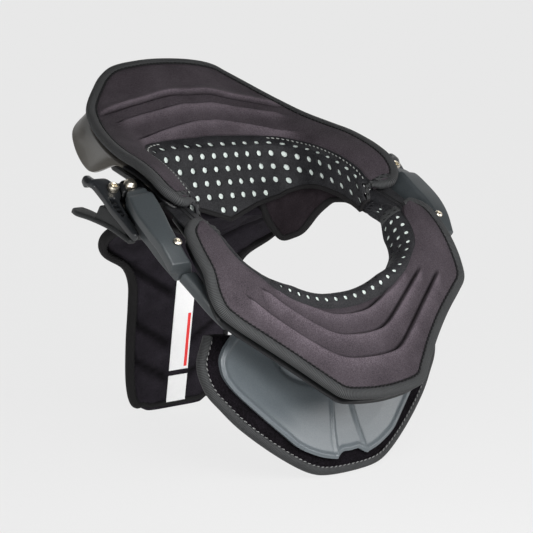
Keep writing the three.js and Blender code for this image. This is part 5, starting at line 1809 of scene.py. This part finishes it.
def chest_pad():
    """Lower to upper edge at each x, front and back, with a crowned front. The places across are the sines
    of even angles, so they lie closest at both ends."""
    x = CHEST_PAD_ROWS[-1, 0] * np.sin(np.linspace(-np.pi / 2, np.pi / 2, CHEST_ACROSS))[:, None]
    low, high = (np.interp(np.abs(x), CHEST_PAD_ROWS[:, 0], CHEST_PAD_ROWS[:, k]) for k in (1, 2))
    share = np.linspace(0, 1, CHEST_UP)[None, :]
    z = low + (high - low) * share
    puff = PUFF_HIGH * np.sin(np.pi * share) ** PUFF_POWER - PUFF_SINK
    front = chest_face(x, z, puff)
    back = chest_face(x, z[:, ::-1], -CHEST_THICK)
    loops = np.concatenate([front, back], axis=1)
    piece = lofted("chest_foam", loops, upright, "front", LOOP_PILE, ["chest_pad"])


def chest_edge():
    """From one shoulder of the pad down its side, along the bottom and up to the other shoulder."""
    upper, lower = CHEST_PAD_ROWS[CHEST_SHOULDER:], CHEST_PAD_ROWS[:0:-1]
    one_side = np.vstack([upper[:, [0, 2]], lower[:, [0, 1]]])
    knots = np.vstack([one_side, one_side[::-1] * np.array([-1, 1])])
    flat = smooth_curve(knots, np.linspace(0, 1, CHEST_EDGE_STEPS))
    flat = even_places(flat, flat, int(running_length(flat)[-1] / BINDING_STEP))
    flat = rounded(flat, BINDING_SOFT)
    path = chest_face(flat[:, 0], flat[:, 1], -CHEST_THICK / 2)
    return path, chest_normal(path)


chest_pad()
chest_rim = chest_edge()
bound_edge("chest_tape", *chest_rim, -1, BINDING_PROFILE, "front", upright, ["chest_binding"], EDGE_TAPE)
stitch_row("chest_stitches", *chest_rim, -1, BINDING_STITCH_OUT, BINDING_STITCH_UP, "front", GREY_THREAD,
           upright, FINE)

# %% [markdown]
# The chest plate is one moulded shell. It is worked out on rays from a point inside: along each ray from the
# middle to the outline, then round the edge and back behind. The raised rim follows the distance to the
# outline; ridges and the oval groove follow the distance to their own lines.

# %% Relief of the chest plate
RIM_HIGH, RIM_AT, RIM_HALF = 1.5, 2.6, 1.7
DISH_DEEP, DISH_REACH = 1.6, 16.0
# Columns: x at the bottom, x at the top, z at the top
RIDGE_ROWS = [(15.0, 8.0, 62.0), (-15.0, -8.0, 62.0)]
RIDGE_FOOT, RIDGE_RAISE, RIDGE_WIDTH = 14.6, 1.5, 1.5
RIDGE_PAST, RIDGE_FADE = 8, 14
# Columns: x, z
GROOVE_KNOTS = [(-60, 112), (-57, 103), (-48, 84), (-33, 74), (-18, 70.5)]
GROOVE_DEEP, GROOVE_WIDTH, GROOVE_STEPS = 1.8, 2.2, 120


def nearest(points, line):
    """Distance from every point to the closest place on a finely drawn line."""
    gaps = points[..., None, :] - line
    return np.sqrt((gaps**2).sum(axis=-1).min(axis=-1))


def plate_relief(flat, outline):
    """Rim bead and dish by the distance to the outline, two ridges low down, and a groove each side."""
    x, z = flat[..., 0], flat[..., 1]
    to_edge = nearest(flat, outline)
    lift = RIM_HIGH * np.exp(-(((to_edge - RIM_AT) / RIM_HALF) ** 2))
    lift -= DISH_DEEP * ease((to_edge - RIM_AT) / DISH_REACH)
    for bottom, top, height in RIDGE_ROWS:
        share = np.clip((z - RIDGE_FOOT) / (height - RIDGE_FOOT), 0, 1)
        away = x - bottom - (top - bottom) * share
        fade = ease((height + RIDGE_PAST - z) / RIDGE_FADE)
        lift += RIDGE_RAISE * np.exp(-((away / RIDGE_WIDTH) ** 2)) * fade
    groove = smooth_curve(GROOVE_KNOTS, np.linspace(0, 1, GROOVE_STEPS))
    for flip in (1, -1):
        away = nearest(flat, groove * np.array([flip, 1]))
        lift -= GROOVE_DEEP * np.exp(-((away / GROOVE_WIDTH) ** 2))
    return lift


# %% Chest plate
# Columns: x, lower edge, upper edge (mm)
CHEST_PLATE_ROWS = np.array([
    (0, 18.2, 95.5), (8, 18.4, 96), (14.5, 14.6, 97), (22, 15.8, 98.5), (30, 18.2, 101), (47, 26.8, 107),
    (60, 38.8, 113), (80, 58.5, 118), (94, 73.5, 109), (99.5, 81.5, 102.5), (102, 87.5, 97.5)], float)
PLATE_MIDDLE = np.array([0.0, 70.0])
CHEST_PLATE_THICK = 3.4
OUTLINE_FINE, OUTLINE_POINTS, RAY_POINTS, RAY_POWER = 900, 400, 70, 1.6


def chest_plate():
    """Rays from the middle to the outline on the front, the edge, and the same rays back behind. The points
    on a ray lie closer together towards the rim."""
    right = np.vstack([CHEST_PLATE_ROWS[:, [0, 1]], CHEST_PLATE_ROWS[::-1][:, [0, 2]]])
    knots = np.vstack([right, right[::-1][1:-1] * np.array([-1, 1])])
    lap = closed_curve(knots, OUTLINE_FINE)
    lap = np.vstack([lap, lap[:1]])
    outline = even_places(lap, lap, OUTLINE_POINTS + 1)[:-1]
    share = 1 - (1 - np.linspace(0, 1, RAY_POINTS)) ** RAY_POWER
    flat = PLATE_MIDDLE + (outline - PLATE_MIDDLE) * share[:, None, None]
    lift = plate_relief(flat, outline)
    front = chest_face(flat[..., 0], flat[..., 1], GAP + CHEST_PLATE_THICK + lift)
    behind = chest_face(flat[..., 0], flat[..., 1], GAP)[::-1]
    rows = np.concatenate([front, behind])
    make_piece("chest_moulding", upright(rows), grid_faces(*rows.shape[:2], wrap=True), "front",
               PLATE_PLASTIC, ["chest_plate"], merge=PLATE_MERGE)
    print("chest plate outline points:", len(outline))


chest_plate()

# %% [markdown]
# A moulded strut carries the back pad from the rear plate. Its section is a flat bar with a raised spine;
# the sections are blended down the back and softened, as on the other hard pieces.

# %% Back strut
# Columns: y, z, half width (mm in the part's own directions)
STRUT_ROWS = [
    (118, 269.4, 28), (117.6, 200, 24), (118.3, 150, 20), (122.6, 122, 18), (126.7, 100, 17),
    (132.7, 66, 16), (139, 31, 14)]
STRUT_EDGE, STRUT_SPINE = 4.0, 8.0


def strut_section(y, z, half):
    """Flat towards the pad; behind, the edges rise in two slants to the spine."""
    profile = [(-half, 0), (half, 0), (half, STRUT_EDGE), (STRUT_SPINE, STRUT_SPINE),
               (-STRUT_SPINE, STRUT_SPINE), (-half, STRUT_EDGE)]
    return [(x, y + back, z) for x, back in profile]


strut = moulded([strut_section(*row) for row in STRUT_ROWS], stations=90, radius=1.6, end=0.8)
lofted("spine_strut", strut, upright, "rear", BLACK_PLASTIC, ["back_strut"])
print("strut sections:", len(STRUT_ROWS))

# %% [markdown]
# Three hidden solids keep their own shape: the bracket behind the chest plate and the two arms under the
# rear table. They are moulded like the latch, so they get its black plastic in place of their plain colour.

# %% Finishes on the solids that stay
KEPT_SOLIDS = ("chest_bracket", "rear_arm_left", "rear_arm_right")
for node_name in KEPT_SOLIDS:
    slots = frame["nodes"][node_name].data.materials
    slots.clear()
    slots.append(BLACK_PLASTIC)
print("finished solids:", len(KEPT_SOLIDS))
